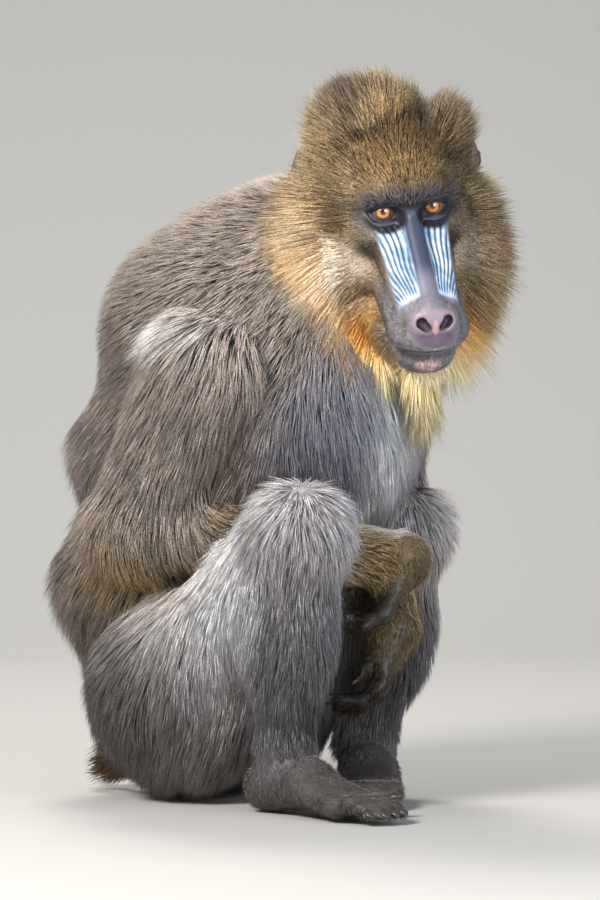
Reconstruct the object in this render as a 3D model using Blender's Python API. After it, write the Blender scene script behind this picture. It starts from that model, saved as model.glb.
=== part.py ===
"""A life-size young mandrill sitting on its haunches, with its hands between its knees and its head turned.

Metres, +Z up. The floor is z = 0 and the animal faces -Y, so its right side is at -X.
The flesh and its coat are blended round cones and eggs, written as distance functions and polygonised on a grid.
Each limb is one smooth form cut at its joints, and each node is carved clear of those before it.
"""

import math
import random

import bmesh
import bpy
import numpy as np
from mathutils import Matrix, Vector

GAP = 0.00032
# The plan below is moved back by this at the end, which puts the middle of its box over the origin.
MIDDLE = Vector((0.0008, -0.0100, 0.0))

# The trunk: centre and radii of each egg, out to the lying coat.
PELVIS = ((0.0, 0.064, 0.088), (0.092, 0.104, 0.092))
LOIN = ((0.0, 0.080, 0.182), (0.100, 0.121, 0.092))
THORAX = ((0.0, 0.044, 0.290), (0.104, 0.140, 0.090))
WITHERS = ((-0.010, 0.024, 0.388), (0.100, 0.122, 0.104))
CHEST = ((0.018, -0.056, 0.320), (0.088, 0.080, 0.100))
NECK_FROM = (0.000, 0.000, 0.420)
NECK_TO = (0.008, -0.076, 0.466)
NECK_RADII = (0.078, 0.048)
NAPE = ((0.004, -0.024, 0.458), (0.048, 0.062, 0.062))
# The sitting pads, which reach the floor under the coat.
SEAT = ((0.0, 0.062, 0.040), (0.056, 0.058, 0.0430))
TAIL_POINTS = ((0.0, 0.105, 0.055), (0.004, 0.148, 0.031), (0.010, 0.165, 0.014))
TAIL_RADII = (0.030, 0.022, 0.014)

# Joints of each arm and leg, and the radii out to the coat there.
ARMS = {
    "right": {
        "joints": ((-0.080, -0.006, 0.370), (-0.112, 0.048, 0.236), (0.008, -0.135, 0.204)),
        "radii": (0.064, 0.042, 0.026),
        "drape": ((-0.106, 0.052, 0.252), (0.044, 0.070, 0.058)),
        "ahead": (-0.45, 0.30, -0.84),
        "back_of_hand": (0.80, -0.50, 0.0),
    },
    "left": {
        "joints": ((0.090, -0.062, 0.378), (0.116, -0.032, 0.250), (0.036, -0.106, 0.142)),
        "radii": (0.058, 0.042, 0.025),
        "drape": ((0.114, -0.034, 0.268), (0.042, 0.058, 0.055)),
        "ahead": (-0.30, 0.16, -0.94),
        "back_of_hand": (0.60, -0.78, 0.10),
    },
}
LEGS = {
    "right": {
        "haunch": ((-0.052, 0.042, 0.102), (0.068, 0.088, 0.096)),
        "joints": ((-0.052, 0.040, 0.100), (-0.094, -0.104, 0.232), (-0.086, -0.083, 0.052)),
        "radii": (0.078, 0.045, 0.027),
        "calf": ((-0.090, -0.090, 0.150), (0.036, 0.040, 0.060)),
        "ahead": (-0.28, -0.96, 0.0),
    },
    "left": {
        "haunch": ((0.052, 0.048, 0.102), (0.068, 0.090, 0.096)),
        "joints": ((0.052, 0.042, 0.100), (0.098, -0.070, 0.222), (0.072, -0.056, 0.052)),
        "radii": (0.078, 0.044, 0.027),
        "calf": ((0.090, -0.070, 0.145), (0.036, 0.040, 0.062)),
        "ahead": (-0.80, -0.60, 0.0),
    },
}

# The head is laid out in its own frame: the middle of the skull at the origin, facing -y, and turned afterwards.
SIDES = ("right", "left")
HEAD_CENTRE = Vector((0.0100, -0.1259, 0.5103))
HEAD_TURN = (
    Matrix.Rotation(math.radians(-42), 3, "Z")
    @ Matrix.Rotation(math.radians(20), 3, "X")
    @ Matrix.Rotation(math.radians(-7), 3, "Y")
)
EYE = (0.0205, -0.0475, 0.0)
EYE_RADIUS = 0.0098
LID = 0.0020
EAR = (0.077, 0.046, 0.010)

# Triangles each form is brought down to before it is cut.
COUNTS = {
    "torso": 620, "head": 2600, "tail": 90, "ear": 180, "eye": 120,
    "arm": 340, "hand": 500, "leg": 430, "foot": 540,
}

# Sizes of the locks: length, widest place, thickness, how far apart their roots are, and how far
# under the tips the core that they grow from lies.
LOCKS = {
    "torso": {"length": 0.085, "width": 0.034, "thick": 0.011, "apart": 0.039, "depth": 0.010},
    "ruff": {"length": 0.054, "width": 0.024, "thick": 0.010, "apart": 0.0265, "depth": 0.011},
    "arm": {"length": 0.072, "width": 0.026, "thick": 0.009, "apart": 0.036, "depth": 0.009},
    "leg": {"length": 0.070, "width": 0.026, "thick": 0.008, "apart": 0.038, "depth": 0.007},
    "tail": {"length": 0.050, "width": 0.018, "thick": 0.007, "apart": 0.026, "depth": 0.006},
}
# Along a lock: how far along, width, thickness, and how far up from the core to the outline.
LOCK_RINGS = ((0.0, 0.70, 1.00, -0.60), (0.36, 1.00, 1.00, 0.40), (0.72, 0.66, 0.70, 0.85))
LOCK_TIP_RISE = 1.10
# Triangles that each lock may add to its node once they are fused.
LOCK_TRIANGLES = 19
# Edges bent more than this are drawn crisp.
SHARP = math.radians(50)
# Roots closer than this to another node's form are left out, and paths are bent this far clear of it.
LOCK_CLEAR = 0.0035
# Locks may lie this far into the coat of a neighbour that is drawn in under its own locks.
OVERLAY = 0.008
# The bare front of the face, in the head's frame: half its width, and how far back and down it goes.
FACE = (0.040, -0.040, -0.104)

# Base colour and roughness of each kind of node.
COLOURS = {
    "head": ((0.26, 0.19, 0.09), 0.80),
    "ear": ((0.22, 0.15, 0.14), 0.60),
    "eye": ((0.45, 0.18, 0.03), 0.10),
    "neck": ((0.20, 0.17, 0.14), 0.85),
    "torso": ((0.22, 0.20, 0.18), 0.85),
    "upper_arm": ((0.19, 0.16, 0.12), 0.85),
    "forearm": ((0.17, 0.13, 0.07), 0.85),
    "hand": ((0.12, 0.10, 0.07), 0.75),
    "thigh": ((0.34, 0.33, 0.33), 0.85),
    "shin": ((0.34, 0.33, 0.32), 0.85),
    "foot": ((0.13, 0.11, 0.09), 0.75),
    "tail": ((0.24, 0.15, 0.07), 0.85),
}


def egg(centre, radii):
    """Distance to an ellipsoid, close to true near its surface."""
    centre = np.array(centre)
    radii = np.array(radii)

    def distance(p):
        q = (p - centre) / radii
        k0 = np.linalg.norm(q, axis=1)
        k1 = np.linalg.norm(q / radii, axis=1)
        return k0 * (k0 - 1.0) / np.maximum(k1, 1e-9)

    return distance


def cone(start, end, start_radius, end_radius):
    """Distance to a round cone between two balls."""
    start = np.array(start)
    along = np.array(end) - start
    length_squared = along @ along

    def distance(p):
        t = np.clip((p - start) @ along / length_squared, 0.0, 1.0)
        nearest = start + t[:, None] * along
        return np.linalg.norm(p - nearest, axis=1) - (start_radius + t * (end_radius - start_radius))

    return distance


def half_space(point, normal):
    """Negative on the side of a plane that its normal points away from."""
    point = np.array(point)
    normal = np.array(Vector(normal).normalized())
    return lambda p: (p - point) @ normal


def blended(forms, width):
    """Union of several forms with fillets of about that width."""

    def distance(p):
        total = forms[0](p)
        for form in forms[1:]:
            other = form(p)
            near = np.maximum(width - np.abs(total - other), 0.0) / width
            total = np.minimum(total, other) - near * near * width / 4
        return total

    return distance


def hollowed(form, cutters, width):
    """A form with cutters taken out of it, their edges eased by about that width."""

    def distance(p):
        total = form(p)
        for cutter in cutters:
            other = -cutter(p)
            near = np.maximum(width - np.abs(total - other), 0.0) / width
            total = np.maximum(total, other) + near * near * width / 4
        return total

    return distance


def shared(forms):
    """What several forms have in common."""
    return lambda p: np.max([form(p) for form in forms], axis=0)


def chain(points, radii, blend=0.01):
    """Round cones end to end."""
    links = [cone(a, b, ra, rb) for a, b, ra, rb in zip(points, points[1:], radii, radii[1:])]
    return blended(links, blend) if len(links) > 1 else links[0]


def placed(form, centre, turn):
    """A form given in a frame of its own, as seen from the frame that holds it."""
    turn = np.array(turn)
    centre = np.array(centre)
    return lambda p: form((p - centre) @ turn)


def on_head(form):
    return placed(form, HEAD_CENTRE, HEAD_TURN)


def pair(form_of_side):
    """The two forms that a function of side (-1 right, +1 left) makes."""
    return [form_of_side(-1), form_of_side(1)]


def lid_form(s):
    """Both lids of one eye: a shell over the ball, open in an almond between two tilted planes."""
    centre = (s * EYE[0], EYE[1], EYE[2])
    hinge = (centre[0], centre[1] + 0.0025, centre[2] - 0.0003)
    shell = egg(centre, (EYE_RADIUS + LID,) * 3)
    opening = shared([half_space(hinge, (0, 0.50, 0.87)), half_space(hinge, (0, 0.44, -0.90))])
    return hollowed(shell, [opening], 0.0012)


def face_form():
    """The skull, muzzle, jaw, brow and lids, out to the short hair of the face."""
    skull = egg((0, 0.004, 0.006), (0.052, 0.062, 0.046))
    cheeks = pair(lambda s: egg((s * 0.034, -0.030, -0.020), (0.020, 0.028, 0.020)))
    jowls = pair(lambda s: egg((s * 0.032, -0.016, -0.044), (0.022, 0.036, 0.036)))
    brow = pair(lambda s: cone((0, -0.0555, 0.0125), (s * 0.031, -0.0490, 0.0100), 0.0080, 0.0070))
    bridge = cone((0, -0.0530, 0.0000), (0, -0.1240, -0.0580), 0.0085, 0.0100)
    ridges = pair(lambda s: cone((s * 0.0190, -0.0560, -0.0250), (s * 0.0125, -0.1130, -0.0620), 0.0150, 0.0120))
    muzzle = pair(lambda s: cone((s * 0.0120, -0.0300, -0.0480), (s * 0.0120, -0.1060, -0.0790), 0.0230, 0.0200))
    nose = egg((0, -0.1270, -0.0650), (0.0170, 0.0130, 0.0145))
    alae = pair(lambda s: egg((s * 0.0108, -0.1275, -0.0680), (0.0095, 0.0115, 0.0098)))
    lip = egg((0, -0.1100, -0.0830), (0.0310, 0.0280, 0.0180))
    lower_jaw = pair(lambda s: cone((s * 0.0190, -0.0200, -0.0860), (s * 0.0100, -0.0930, -0.1060), 0.0200, 0.0140))
    chin = egg((0, -0.1010, -0.1080), (0.0210, 0.0190, 0.0135))
    whole = blended(
        [skull, *cheeks, *jowls, *brow, bridge, *ridges, *muzzle, nose, *alae, lip, *lower_jaw, chin], 0.008
    )
    sockets = pair(lambda s: egg((s * 0.0215, -0.0640, -0.0010), (0.0140, 0.0110, 0.0080)))
    nostrils = pair(lambda s: egg((s * 0.0092, -0.1400, -0.0665), (0.0060, 0.0120, 0.0036)))
    whole = hollowed(whole, sockets, 0.006)
    whole = hollowed(whole, nostrils, 0.0025)
    whole = blended([whole, *pair(lid_form)], 0.0030)

    def with_mouth(p):
        """The line of the mouth, a groove that follows the lips and fades out at the corners."""
        distance = whole(p)
        line = -0.0920 + (p[:, 1] + 0.135) * 0.02
        depth = 0.0050 * np.clip((-0.074 - p[:, 1]) / 0.014, 0.0, 1.0)
        groove = np.maximum(np.abs(p[:, 2] - line) - 0.0016, -(distance + depth))
        return np.maximum(distance, -groove)

    return with_mouth


def ruff_form():
    """The crown, cheek ruff and beard as plain volumes, out to the tips."""
    ruff = egg((-0.006, 0.010, -0.022), (0.090, 0.058, 0.078))
    cheeks = pair(lambda s: egg((s * 0.054 - 0.006, 0.002, -0.058), (0.048, 0.050, 0.064)))
    crown = egg((-0.016, 0.012, 0.040), (0.060, 0.054, 0.062))
    tuft = egg((0.042, 0.010, 0.036), (0.034, 0.044, 0.040))
    beard = cone((0, -0.060, -0.112), (0, -0.088, -0.184), 0.040, 0.012)
    sides = pair(lambda s: cone((s * 0.046, -0.004, -0.088), (s * 0.014, -0.072, -0.158), 0.040, 0.016))
    return blended([ruff, *cheeks, crown, tuft, *sides, beard], 0.024)


def ear_form(s):
    """The cup of one ear, which opens sideways and forward."""
    turn = Matrix.Rotation(s * math.radians(28), 3, "Z") @ Matrix.Rotation(s * math.radians(-14), 3, "Y")
    shell = egg((0, 0, 0), (0.0110, 0.0190, 0.0230))
    cup = egg((s * 0.0085, -0.0040, 0.0010), (0.0130, 0.0135, 0.0165))
    root = cone((-s * 0.034, -0.016, -0.004), (-s * 0.002, 0.002, -0.002), 0.0120, 0.0100)
    lobe = cone((s * 0.001, -0.008, -0.014), (s * 0.003, -0.011, -0.004), 0.0040, 0.0035)
    whole = hollowed(blended([shell, root], 0.006), [cup], 0.003)
    return placed(blended([whole, lobe], 0.003), (s * EAR[0], EAR[1], EAR[2]), turn)


def trunk_form():
    """Torso and neck together."""
    eggs = [egg(*part) for part in (PELVIS, LOIN, THORAX, WITHERS, CHEST, NAPE)]
    return blended([*eggs, cone(NECK_FROM, NECK_TO, *NECK_RADII)], 0.05)


def arm_form(side):
    """Upper arm and forearm with the coat that hangs at the elbow."""
    plan = ARMS[side]
    return blended([chain(plan["joints"], plan["radii"], 0.02), egg(*plan["drape"])], 0.03)


def arm_core(side, depth):
    """The same, drawn in where it carries locks."""
    plan = ARMS[side]
    shoulder, wrist = plan["radii"][0], plan["radii"][2]
    radii = (shoulder - depth, plan["radii"][1] - depth / 2, wrist)
    return blended([chain(plan["joints"], radii, 0.02), inset(egg(*plan["drape"]), depth)], 0.03)


def leg_core(side, depth):
    """The leg drawn in where it carries locks."""
    plan = LEGS[side]
    hip, knee, ankle = plan["radii"]
    bones = chain(plan["joints"], (hip - depth, knee - depth / 2, ankle), 0.02)
    return blended([inset(egg(*plan["haunch"]), depth), bones, egg(*plan["calf"])], 0.035)


def leg_form(side):
    """Haunch, thigh and shin."""
    plan = LEGS[side]
    return blended([egg(*plan["haunch"]), chain(plan["joints"], plan["radii"], 0.02), egg(*plan["calf"])], 0.035)


def digit(start, ahead, bend_axis, lengths, radii, bends):
    """A finger or toe: its bones turn by each bend in degrees about one axis."""
    points = [Vector(start)]
    way = Vector(ahead).normalized()
    for length, bend in zip(lengths, bends):
        way = Matrix.Rotation(math.radians(bend), 3, bend_axis) @ way
        points.append(points[-1] + way * length)
    return chain([tuple(p) for p in points], radii, 0.004)


def limb_frame(ahead, up):
    """Ahead, across and up at right angles; across points to the animal's left when ahead is -Y and up is +Z."""
    ahead = Vector(ahead).normalized()
    up = Vector(up)
    up = (up - ahead * up.dot(ahead)).normalized()
    return ahead, up.cross(ahead), up


def hand_form(side):
    """Back of the hand, four fingers that curl and a thumb."""
    s = -1 if side == "right" else 1
    plan = ARMS[side]
    wrist = Vector(plan["joints"][2])
    ahead, across, up = limb_frame(plan["ahead"], plan["back_of_hand"])
    forms = [cone(tuple(wrist), tuple(wrist + ahead * 0.018), plan["radii"][2], 0.020)]
    for place, reach in ((-1.5, 0.94), (-0.5, 1.0), (0.5, 0.98), (1.5, 0.88)):
        knuckle = wrist + ahead * 0.050 * reach + across * place * 0.0112 + up * 0.004
        root = wrist + ahead * 0.010 + across * place * 0.0070 + up * 0.003
        forms.append(cone(tuple(root), tuple(knuckle), 0.0120, 0.0085))
        forms.append(
            digit(knuckle, ahead, across, (0.021 * reach, 0.016 * reach, 0.013 * reach),
                  (0.0080, 0.0074, 0.0066, 0.0056), (34, 38, 26))
        )
    thumb = wrist + ahead * 0.022 - across * s * 0.014 - up * 0.006
    forms.append(digit(thumb, ahead - across * s * 0.5 - up * 0.3, across, (0.018, 0.015), (0.0085, 0.0070, 0.0056), (0, 20)))
    return blended(forms, 0.006)


def foot_form(side):
    """A flat foot: heel, sole, four toes and a great toe that stands off."""
    s = -1 if side == "right" else 1
    plan = LEGS[side]
    ankle = Vector(plan["joints"][2])
    ahead, across, up = limb_frame(plan["ahead"], (0, 0, 1))
    ground = Vector((ankle.x, ankle.y, 0.0))
    heel = ground - ahead * 0.018 + up * 0.021
    arch = ground + ahead * 0.034 + up * 0.028
    forms = [
        cone(tuple(ankle), tuple(ground + ahead * 0.004 + up * 0.034), plan["radii"][2], 0.026),
        cone(tuple(heel), tuple(arch), 0.0235, 0.0230),
    ]
    for place, reach in ((-1.5, 0.90), (-0.5, 1.0), (0.5, 0.98), (1.5, 0.90)):
        ball = ground + ahead * (0.078 + 0.010 * reach) + across * place * 0.0118 + up * 0.0130
        root = arch + across * place * 0.0080 - up * 0.004
        forms.append(cone(tuple(root), tuple(ball), 0.0160, 0.0105))
        forms.append(
            digit(ball, ahead, across, (0.022 * reach, 0.015 * reach, 0.011 * reach),
                  (0.0100, 0.0086, 0.0078, 0.0066), (-8, 18, 20))
        )
    hallux = ground + ahead * 0.050 - across * s * 0.016 + up * 0.014
    forms.append(
        digit(hallux, ahead - across * s * 0.85, up, (0.028, 0.018), (0.0130, 0.0100, 0.0080), (0, s * 12))
    )
    return blended(forms, 0.007)


def without_checkers(values):
    """Opens grid faces whose corners are inside and outside by turns, where a surface net would pinch."""
    for _ in range(12):
        inside = values < 0
        doomed = np.zeros_like(inside)
        for axis_a, axis_b in ((0, 1), (1, 2), (0, 2)):
            corners = []
            for shift_a, shift_b in ((0, 0), (1, 0), (1, 1), (0, 1)):
                window = [slice(None)] * 3
                window[axis_a] = slice(shift_a, inside.shape[axis_a] - 1 + shift_a)
                window[axis_b] = slice(shift_b, inside.shape[axis_b] - 1 + shift_b)
                corners.append((tuple(window), inside[tuple(window)]))
            a, b, c, d = (corner[1] for corner in corners)
            doomed[corners[0][0]] |= a & ~b & c & ~d
            doomed[corners[1][0]] |= ~a & b & ~c & d
        if not doomed.any():
            break
        values[doomed] = 1e-5
    return values


def surface_net(form, low, high, cell):
    """Vertices and quads of the form's zero surface on a cubic grid."""
    low = np.array(low, float)
    counts = np.ceil((np.array(high, float) - low) / cell).astype(int) + 1
    axes = [low[i] + cell * np.arange(counts[i]) for i in range(3)]
    grid = np.stack(np.meshgrid(*axes, indexing="ij"), axis=-1)
    values = without_checkers(form(grid.reshape(-1, 3)).reshape(counts))
    inside = values < 0
    cells = tuple(counts - 1)
    total = np.zeros((*cells, 3))
    hits = np.zeros(cells)
    crossings = []
    for axis in range(3):
        first = np.moveaxis(values, axis, 0)[:-1]
        second = np.moveaxis(values, axis, 0)[1:]
        crosses = (first < 0) != (second < 0)
        share = np.where(crosses, first / np.where(crosses, first - second, 1.0), 0.0)
        point = np.moveaxis(grid, axis, 0)[:-1].copy()
        point[..., axis] += share * cell
        point *= crosses[..., None]
        point = np.moveaxis(point, 0, axis)
        crosses = np.moveaxis(crosses, 0, axis)
        crossings.append(crosses)
        others = [i for i in range(3) if i != axis]
        for shift_a in (0, 1):
            for shift_b in (0, 1):
                source = [slice(None)] * 3
                source[others[0]] = slice(shift_a, shift_a + cells[others[0]])
                source[others[1]] = slice(shift_b, shift_b + cells[others[1]])
                total += point[tuple(source)]
                hits += crosses[tuple(source)]
    used = hits > 0
    index = np.full(cells, -1)
    index[used] = np.arange(used.sum())
    points = total[used] / hits[used][:, None]
    quads = []
    for axis in range(3):
        a, b = (axis + 1) % 3, (axis + 2) % 3
        at = np.argwhere(crossings[axis])
        at = at[(at[:, a] > 0) & (at[:, b] > 0) & (at[:, a] < cells[a]) & (at[:, b] < cells[b])]
        corners = []
        for da, db in ((-1, -1), (0, -1), (0, 0), (-1, 0)):
            shifted = at.copy()
            shifted[:, a] += da
            shifted[:, b] += db
            corners.append(index[tuple(shifted.T)])
        quad = np.stack(corners, axis=1)
        flip = ~inside[tuple(at.T)]
        quad[flip] = quad[flip][:, ::-1]
        quads.append(quad)
    return points, np.concatenate(quads)


def gradient(form, points, step=0.0004):
    """The outward slope of the form's distance at each point."""
    slopes = []
    for axis in range(3):
        shift = np.zeros(3)
        shift[axis] = step
        slopes.append((form(points + shift) - form(points - shift)) / (2 * step))
    return np.stack(slopes, axis=1)


def settled(form, points, cell):
    """Points moved onto the form's surface, by at most half a cell."""
    moved = points.copy()
    for _ in range(3):
        slope = gradient(form, moved)
        size = np.maximum((slope * slope).sum(axis=1), 0.05)
        moved -= form(moved)[:, None] * slope / size[:, None]
    shift = moved - points
    length = np.linalg.norm(shift, axis=1)
    return points + shift * np.minimum(1.0, cell / 2 / np.maximum(length, 1e-9))[:, None]


def mesh_object(name, points, faces):
    """A mesh object of those vertices and faces, in the scene."""
    mesh = bpy.data.meshes.new(name)
    mesh.from_pydata([tuple(p) for p in points], [], [tuple(int(i) for i in f) for f in faces])
    made = bpy.data.objects.new(name, mesh)
    bpy.context.scene.collection.objects.link(made)
    return made


def applied(target):
    """Bakes the modifiers of an object into its mesh."""
    bpy.context.view_layer.update()
    shown = target.evaluated_get(bpy.context.evaluated_depsgraph_get())
    mesh = bpy.data.meshes.new_from_object(shown)
    target.modifiers.clear()
    target.data = mesh
    return target


def largest_only(target):
    """Keeps the largest closed surface of a mesh, in triangles."""
    work = bmesh.new()
    work.from_mesh(target.data)
    left = set(work.verts)
    islands = []
    while left:
        first = left.pop()
        island = [first]
        front = [first]
        while front:
            for edge in front.pop().link_edges:
                for vert in edge.verts:
                    if vert in left:
                        left.discard(vert)
                        island.append(vert)
                        front.append(vert)
        islands.append(island)
    islands.sort(key=len)
    doomed = [vert for island in islands[:-1] for vert in island]
    bmesh.ops.delete(work, geom=doomed, context="VERTS")
    bmesh.ops.triangulate(work, faces=work.faces)
    work.to_mesh(target.data)
    work.free()
    return target


def is_closed(mesh):
    """True when every edge joins just two faces."""
    counts = {}
    for polygon in mesh.polygons:
        for key in polygon.edge_keys:
            counts[key] = counts.get(key, 0) + 1
    return all(count == 2 for count in counts.values())


def thinned(target, count):
    """Brings a mesh down to about that many triangles, the least needed first."""
    share = count / len(target.data.polygons)
    if share < 1:
        thinner = target.modifiers.new("thin", "DECIMATE")
        thinner.ratio = share
        applied(target)
    return target


def polygonised(name, form, low, high, cell, count):
    """The form as a closed mesh of about that many triangles."""
    points, quads = surface_net(form, low, high, cell)
    made = mesh_object(name, settled(form, points, cell), quads)
    largest_only(made)
    return thinned(made, count)


def boolean(target, tool, operation):
    """One Boolean, applied; the tool is left as it was."""
    step = target.modifiers.new("cut", "BOOLEAN")
    step.operation = operation
    step.solver = "MANIFOLD" if is_closed(target.data) and is_closed(tool.data) else "EXACT"
    step.object = tool
    return applied(target)


def swollen(source, by):
    """A copy of an object pushed outward by that much."""
    mesh = source.data.copy()
    copy = bpy.data.objects.new(source.name + "_swollen", mesh)
    bpy.context.scene.collection.objects.link(copy)
    work = bmesh.new()
    work.from_mesh(mesh)
    work.normal_update()
    moves = [(vert, vert.normal * by * min(vert.calc_shell_factor(), 2.0)) for vert in work.verts]
    for vert, move in moves:
        vert.co += move
    work.to_mesh(mesh)
    work.free()
    return copy


def carve(target, others):
    """Takes others out of the target with the gap left between."""
    for other in others:
        tool = swollen(other, GAP)
        boolean(target, tool, "DIFFERENCE")
        boolean(target, other, "DIFFERENCE")
        bpy.data.objects.remove(tool)
    return largest_only(target)


def slab(point, normal, offset, reach=0.5):
    """A block that fills the side of a plane its normal points to, starting at that offset."""
    way = Vector(normal).normalized()
    turn = way.to_track_quat("Z", "Y").to_matrix().to_4x4()
    made = mesh_object("slab", *box_shape(reach))
    made.matrix_world = Matrix.Translation(Vector(point) + way * (offset + reach / 2)) @ turn
    return made


def box_shape(size):
    h = size / 2
    points = [(x * h, y * h, z * h) for z in (-1, 1) for y in (-1, 1) for x in (-1, 1)]
    faces = [(0, 2, 3, 1), (4, 5, 7, 6), (0, 1, 5, 4), (2, 6, 7, 3), (0, 4, 6, 2), (1, 3, 7, 5)]
    return points, faces


def even_roots(node, apart, seed):
    """Places spread evenly over a mesh, none closer together than the spacing."""
    chance = random.Random(seed)
    corners = [[vert.co.copy() for vert in (node.data.vertices[i] for i in face.vertices)] for face in node.data.polygons]
    areas = [face.area for face in node.data.polygons]
    kept = []
    for face in chance.choices(corners, areas, k=int(sum(areas) / apart**2 * 30)):
        a, b = chance.random(), chance.random()
        if a + b > 1:
            a, b = 1 - a, 1 - b
        spot = face[0] + (face[1] - face[0]) * a + (face[2] - face[0]) * b
        if all((spot - other).length > apart for other in kept):
            kept.append(spot)
    return kept


def value_at(form, spot):
    return float(form(np.array([spot]))[0])


def slope_at(form, spot):
    return Vector(gradient(form, np.array([spot]))[0]).normalized()


def lock_object(name, root, lie, outline, avoid, size, chance):
    """One flat, tapered lock that rises from the core to the outline along the lie of the coat."""
    length = size["length"] * chance.uniform(0.80, 1.15)
    width = size["width"] * chance.uniform(0.85, 1.15)
    sway = chance.uniform(-0.28, 0.28)
    points = []
    for along, wide, thick, rise in (*LOCK_RINGS, (1.0, 0.0, 0.0, LOCK_TIP_RISE)):
        up = slope_at(outline, root)
        way = Vector(lie(root))
        way = (way - up * way.dot(up)).normalized()
        across = up.cross(way)
        spot = root + way * (length * along) + across * (length * sway * along**2)
        for _ in range(3):
            target = size["depth"] * (rise - 1.0)
            spot -= slope_at(outline, spot) * (value_at(outline, spot) - target)
            if along > 0:
                spot += slope_at(avoid, spot) * max(0.0, LOCK_CLEAR - value_at(avoid, spot))
        spot.z = max(spot.z, LOCK_CLEAR)
        up = slope_at(outline, spot)
        across = up.cross(way).normalized()
        if wide == 0.0:
            points.append(spot)
            continue
        half, height = across * (width * wide / 2), up * (size["thick"] * thick / 2)
        points += [spot - half - height, spot + half - height, spot + height]
    faces = [(2, 1, 0)]
    for ring in range(len(LOCK_RINGS) - 1):
        for turn in range(3):
            a, b = ring * 3 + turn, ring * 3 + (turn + 1) % 3
            faces.append((a, b, b + 3, a + 3))
    last = 3 * (len(LOCK_RINGS) - 1)
    faces += [(last + turn, last + (turn + 1) % 3, last + 3) for turn in range(3)]
    made = mesh_object(name, points, faces)
    work = bmesh.new()
    work.from_mesh(made.data)
    bmesh.ops.recalc_face_normals(work, faces=work.faces)
    bmesh.ops.triangulate(work, faces=work.faces)
    work.to_mesh(made.data)
    work.free()
    return made


def grow_locks(node, outline, lie, avoid, size, wanted, seed):
    """Roots locks evenly over a core where they are wanted and fuses them with it."""
    chance = random.Random(seed)
    plain = len(node.data.polygons)
    group = bpy.data.collections.new("locks")
    bpy.context.scene.collection.children.link(group)
    for number, root in enumerate(even_roots(node, size["apart"], seed)):
        if value_at(avoid, root) < LOCK_CLEAR or root.z < 2 * LOCK_CLEAR or not wanted(root):
            continue
        lock = lock_object(f"lock_{number}", root, lie, outline, avoid, size, chance)
        bpy.context.scene.collection.objects.unlink(lock)
        group.objects.link(lock)
    step = node.modifiers.new("fuse", "BOOLEAN")
    step.operation = "UNION"
    step.operand_type = "COLLECTION"
    step.collection = group
    step.solver = "MANIFOLD"
    applied(node)
    count = plain + LOCK_TRIANGLES * len(group.objects)
    for lock in list(group.objects):
        bpy.data.objects.remove(lock)
    bpy.data.collections.remove(group)
    return thinned(largest_only(node), count)


def keep_side(target, point, normal, offset=GAP / 2):
    """Keeps what lies against the normal of a plane, half a gap short of it."""
    tool = slab(point, normal, -offset)
    boolean(target, tool, "DIFFERENCE")
    bpy.data.objects.remove(tool)
    return largest_only(target)


def split(whole, names, point, normal):
    """Cuts one object at a plane into two with the gap between; the first is the side the normal leaves."""
    far = whole.copy()
    far.data = whole.data.copy()
    bpy.context.scene.collection.objects.link(far)
    whole.name, far.name = names
    keep_side(whole, point, normal)
    keep_side(far, point, [-v for v in normal])
    return whole, far


def fold_plane(joints):
    """The plane that halves the bend of a limb, as its point and a normal from the first bone to the second."""
    a, b, c = (Vector(j) for j in joints)
    return b, (c - b).normalized() - (a - b).normalized()


def clear_scene():
    for old in list(bpy.data.objects):
        bpy.data.objects.remove(old)


def cut_floor(target):
    """Flattens what would reach below the floor, so the node rests on a flat."""
    return keep_side(target, (0, 0, 0), (0, 0, -1), 0)


def finished():
    """Gives every node its material and smooth shading."""
    for node in bpy.context.scene.objects:
        kind = node.name.replace("_left", "").replace("_right", "")
        colour, roughness = COLOURS[kind]
        material = bpy.data.materials.get(kind) or bpy.data.materials.new(kind)
        material.use_nodes = True
        shader = material.node_tree.nodes["Principled BSDF"]
        shader.inputs["Base Color"].default_value = (*colour, 1.0)
        shader.inputs["Roughness"].default_value = roughness
        node.data.materials.clear()
        node.data.materials.append(material)
        for polygon in node.data.polygons:
            polygon.use_smooth = True
        node.data.set_sharp_from_angle(angle=SHARP)
        node.data.transform(Matrix.Translation(-MIDDLE))


def box_of(node):
    """Low and high corners of a node."""
    points = np.array([vert.co for vert in node.data.vertices])
    return points.min(axis=0), points.max(axis=0)


def near(one, other, margin=0.002):
    """True when the boxes of two nodes come within a margin of each other."""
    low_a, high_a = box_of(one)
    low_b, high_b = box_of(other)
    return bool(np.all(low_a - margin < high_b) and np.all(low_b - margin < high_a))


def carved(node, before, siblings=()):
    """Carves a node by each node before it that comes near, but for those it was cut from."""
    return carve(node, [other for other in before if other not in siblings and near(node, other)])


def make_features():
    """Both eyes and both ears."""
    near_head = (HEAD_CENTRE - Vector((0.13,) * 3), HEAD_CENTRE + Vector((0.13,) * 3))
    made = []
    for side, s in (("right", -1), ("left", 1)):
        ball = on_head(egg((s * EYE[0], EYE[1], EYE[2]), (EYE_RADIUS,) * 3))
        made.append(polygonised(f"eye_{side}", ball, *near_head, 0.0025, COUNTS["eye"]))
        made.append(polygonised(f"ear_{side}", on_head(ear_form(s)), *near_head, 0.0025, COUNTS["ear"]))
    return made


def inset(form, depth):
    """A form drawn in by that much."""
    return lambda p: form(p) + depth


def nearest_of(forms):
    """Distance to the nearest of several forms."""
    return lambda p: np.min([form(p) for form in forms], axis=0)


def limb_forms():
    """Every arm, hand, leg and foot."""
    return [make(side) for make in (arm_form, hand_form, leg_form, foot_form) for side in ("right", "left")]


def in_head_frame(spot):
    return HEAD_TURN.transposed() @ (Vector(spot) - HEAD_CENTRE)


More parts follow.
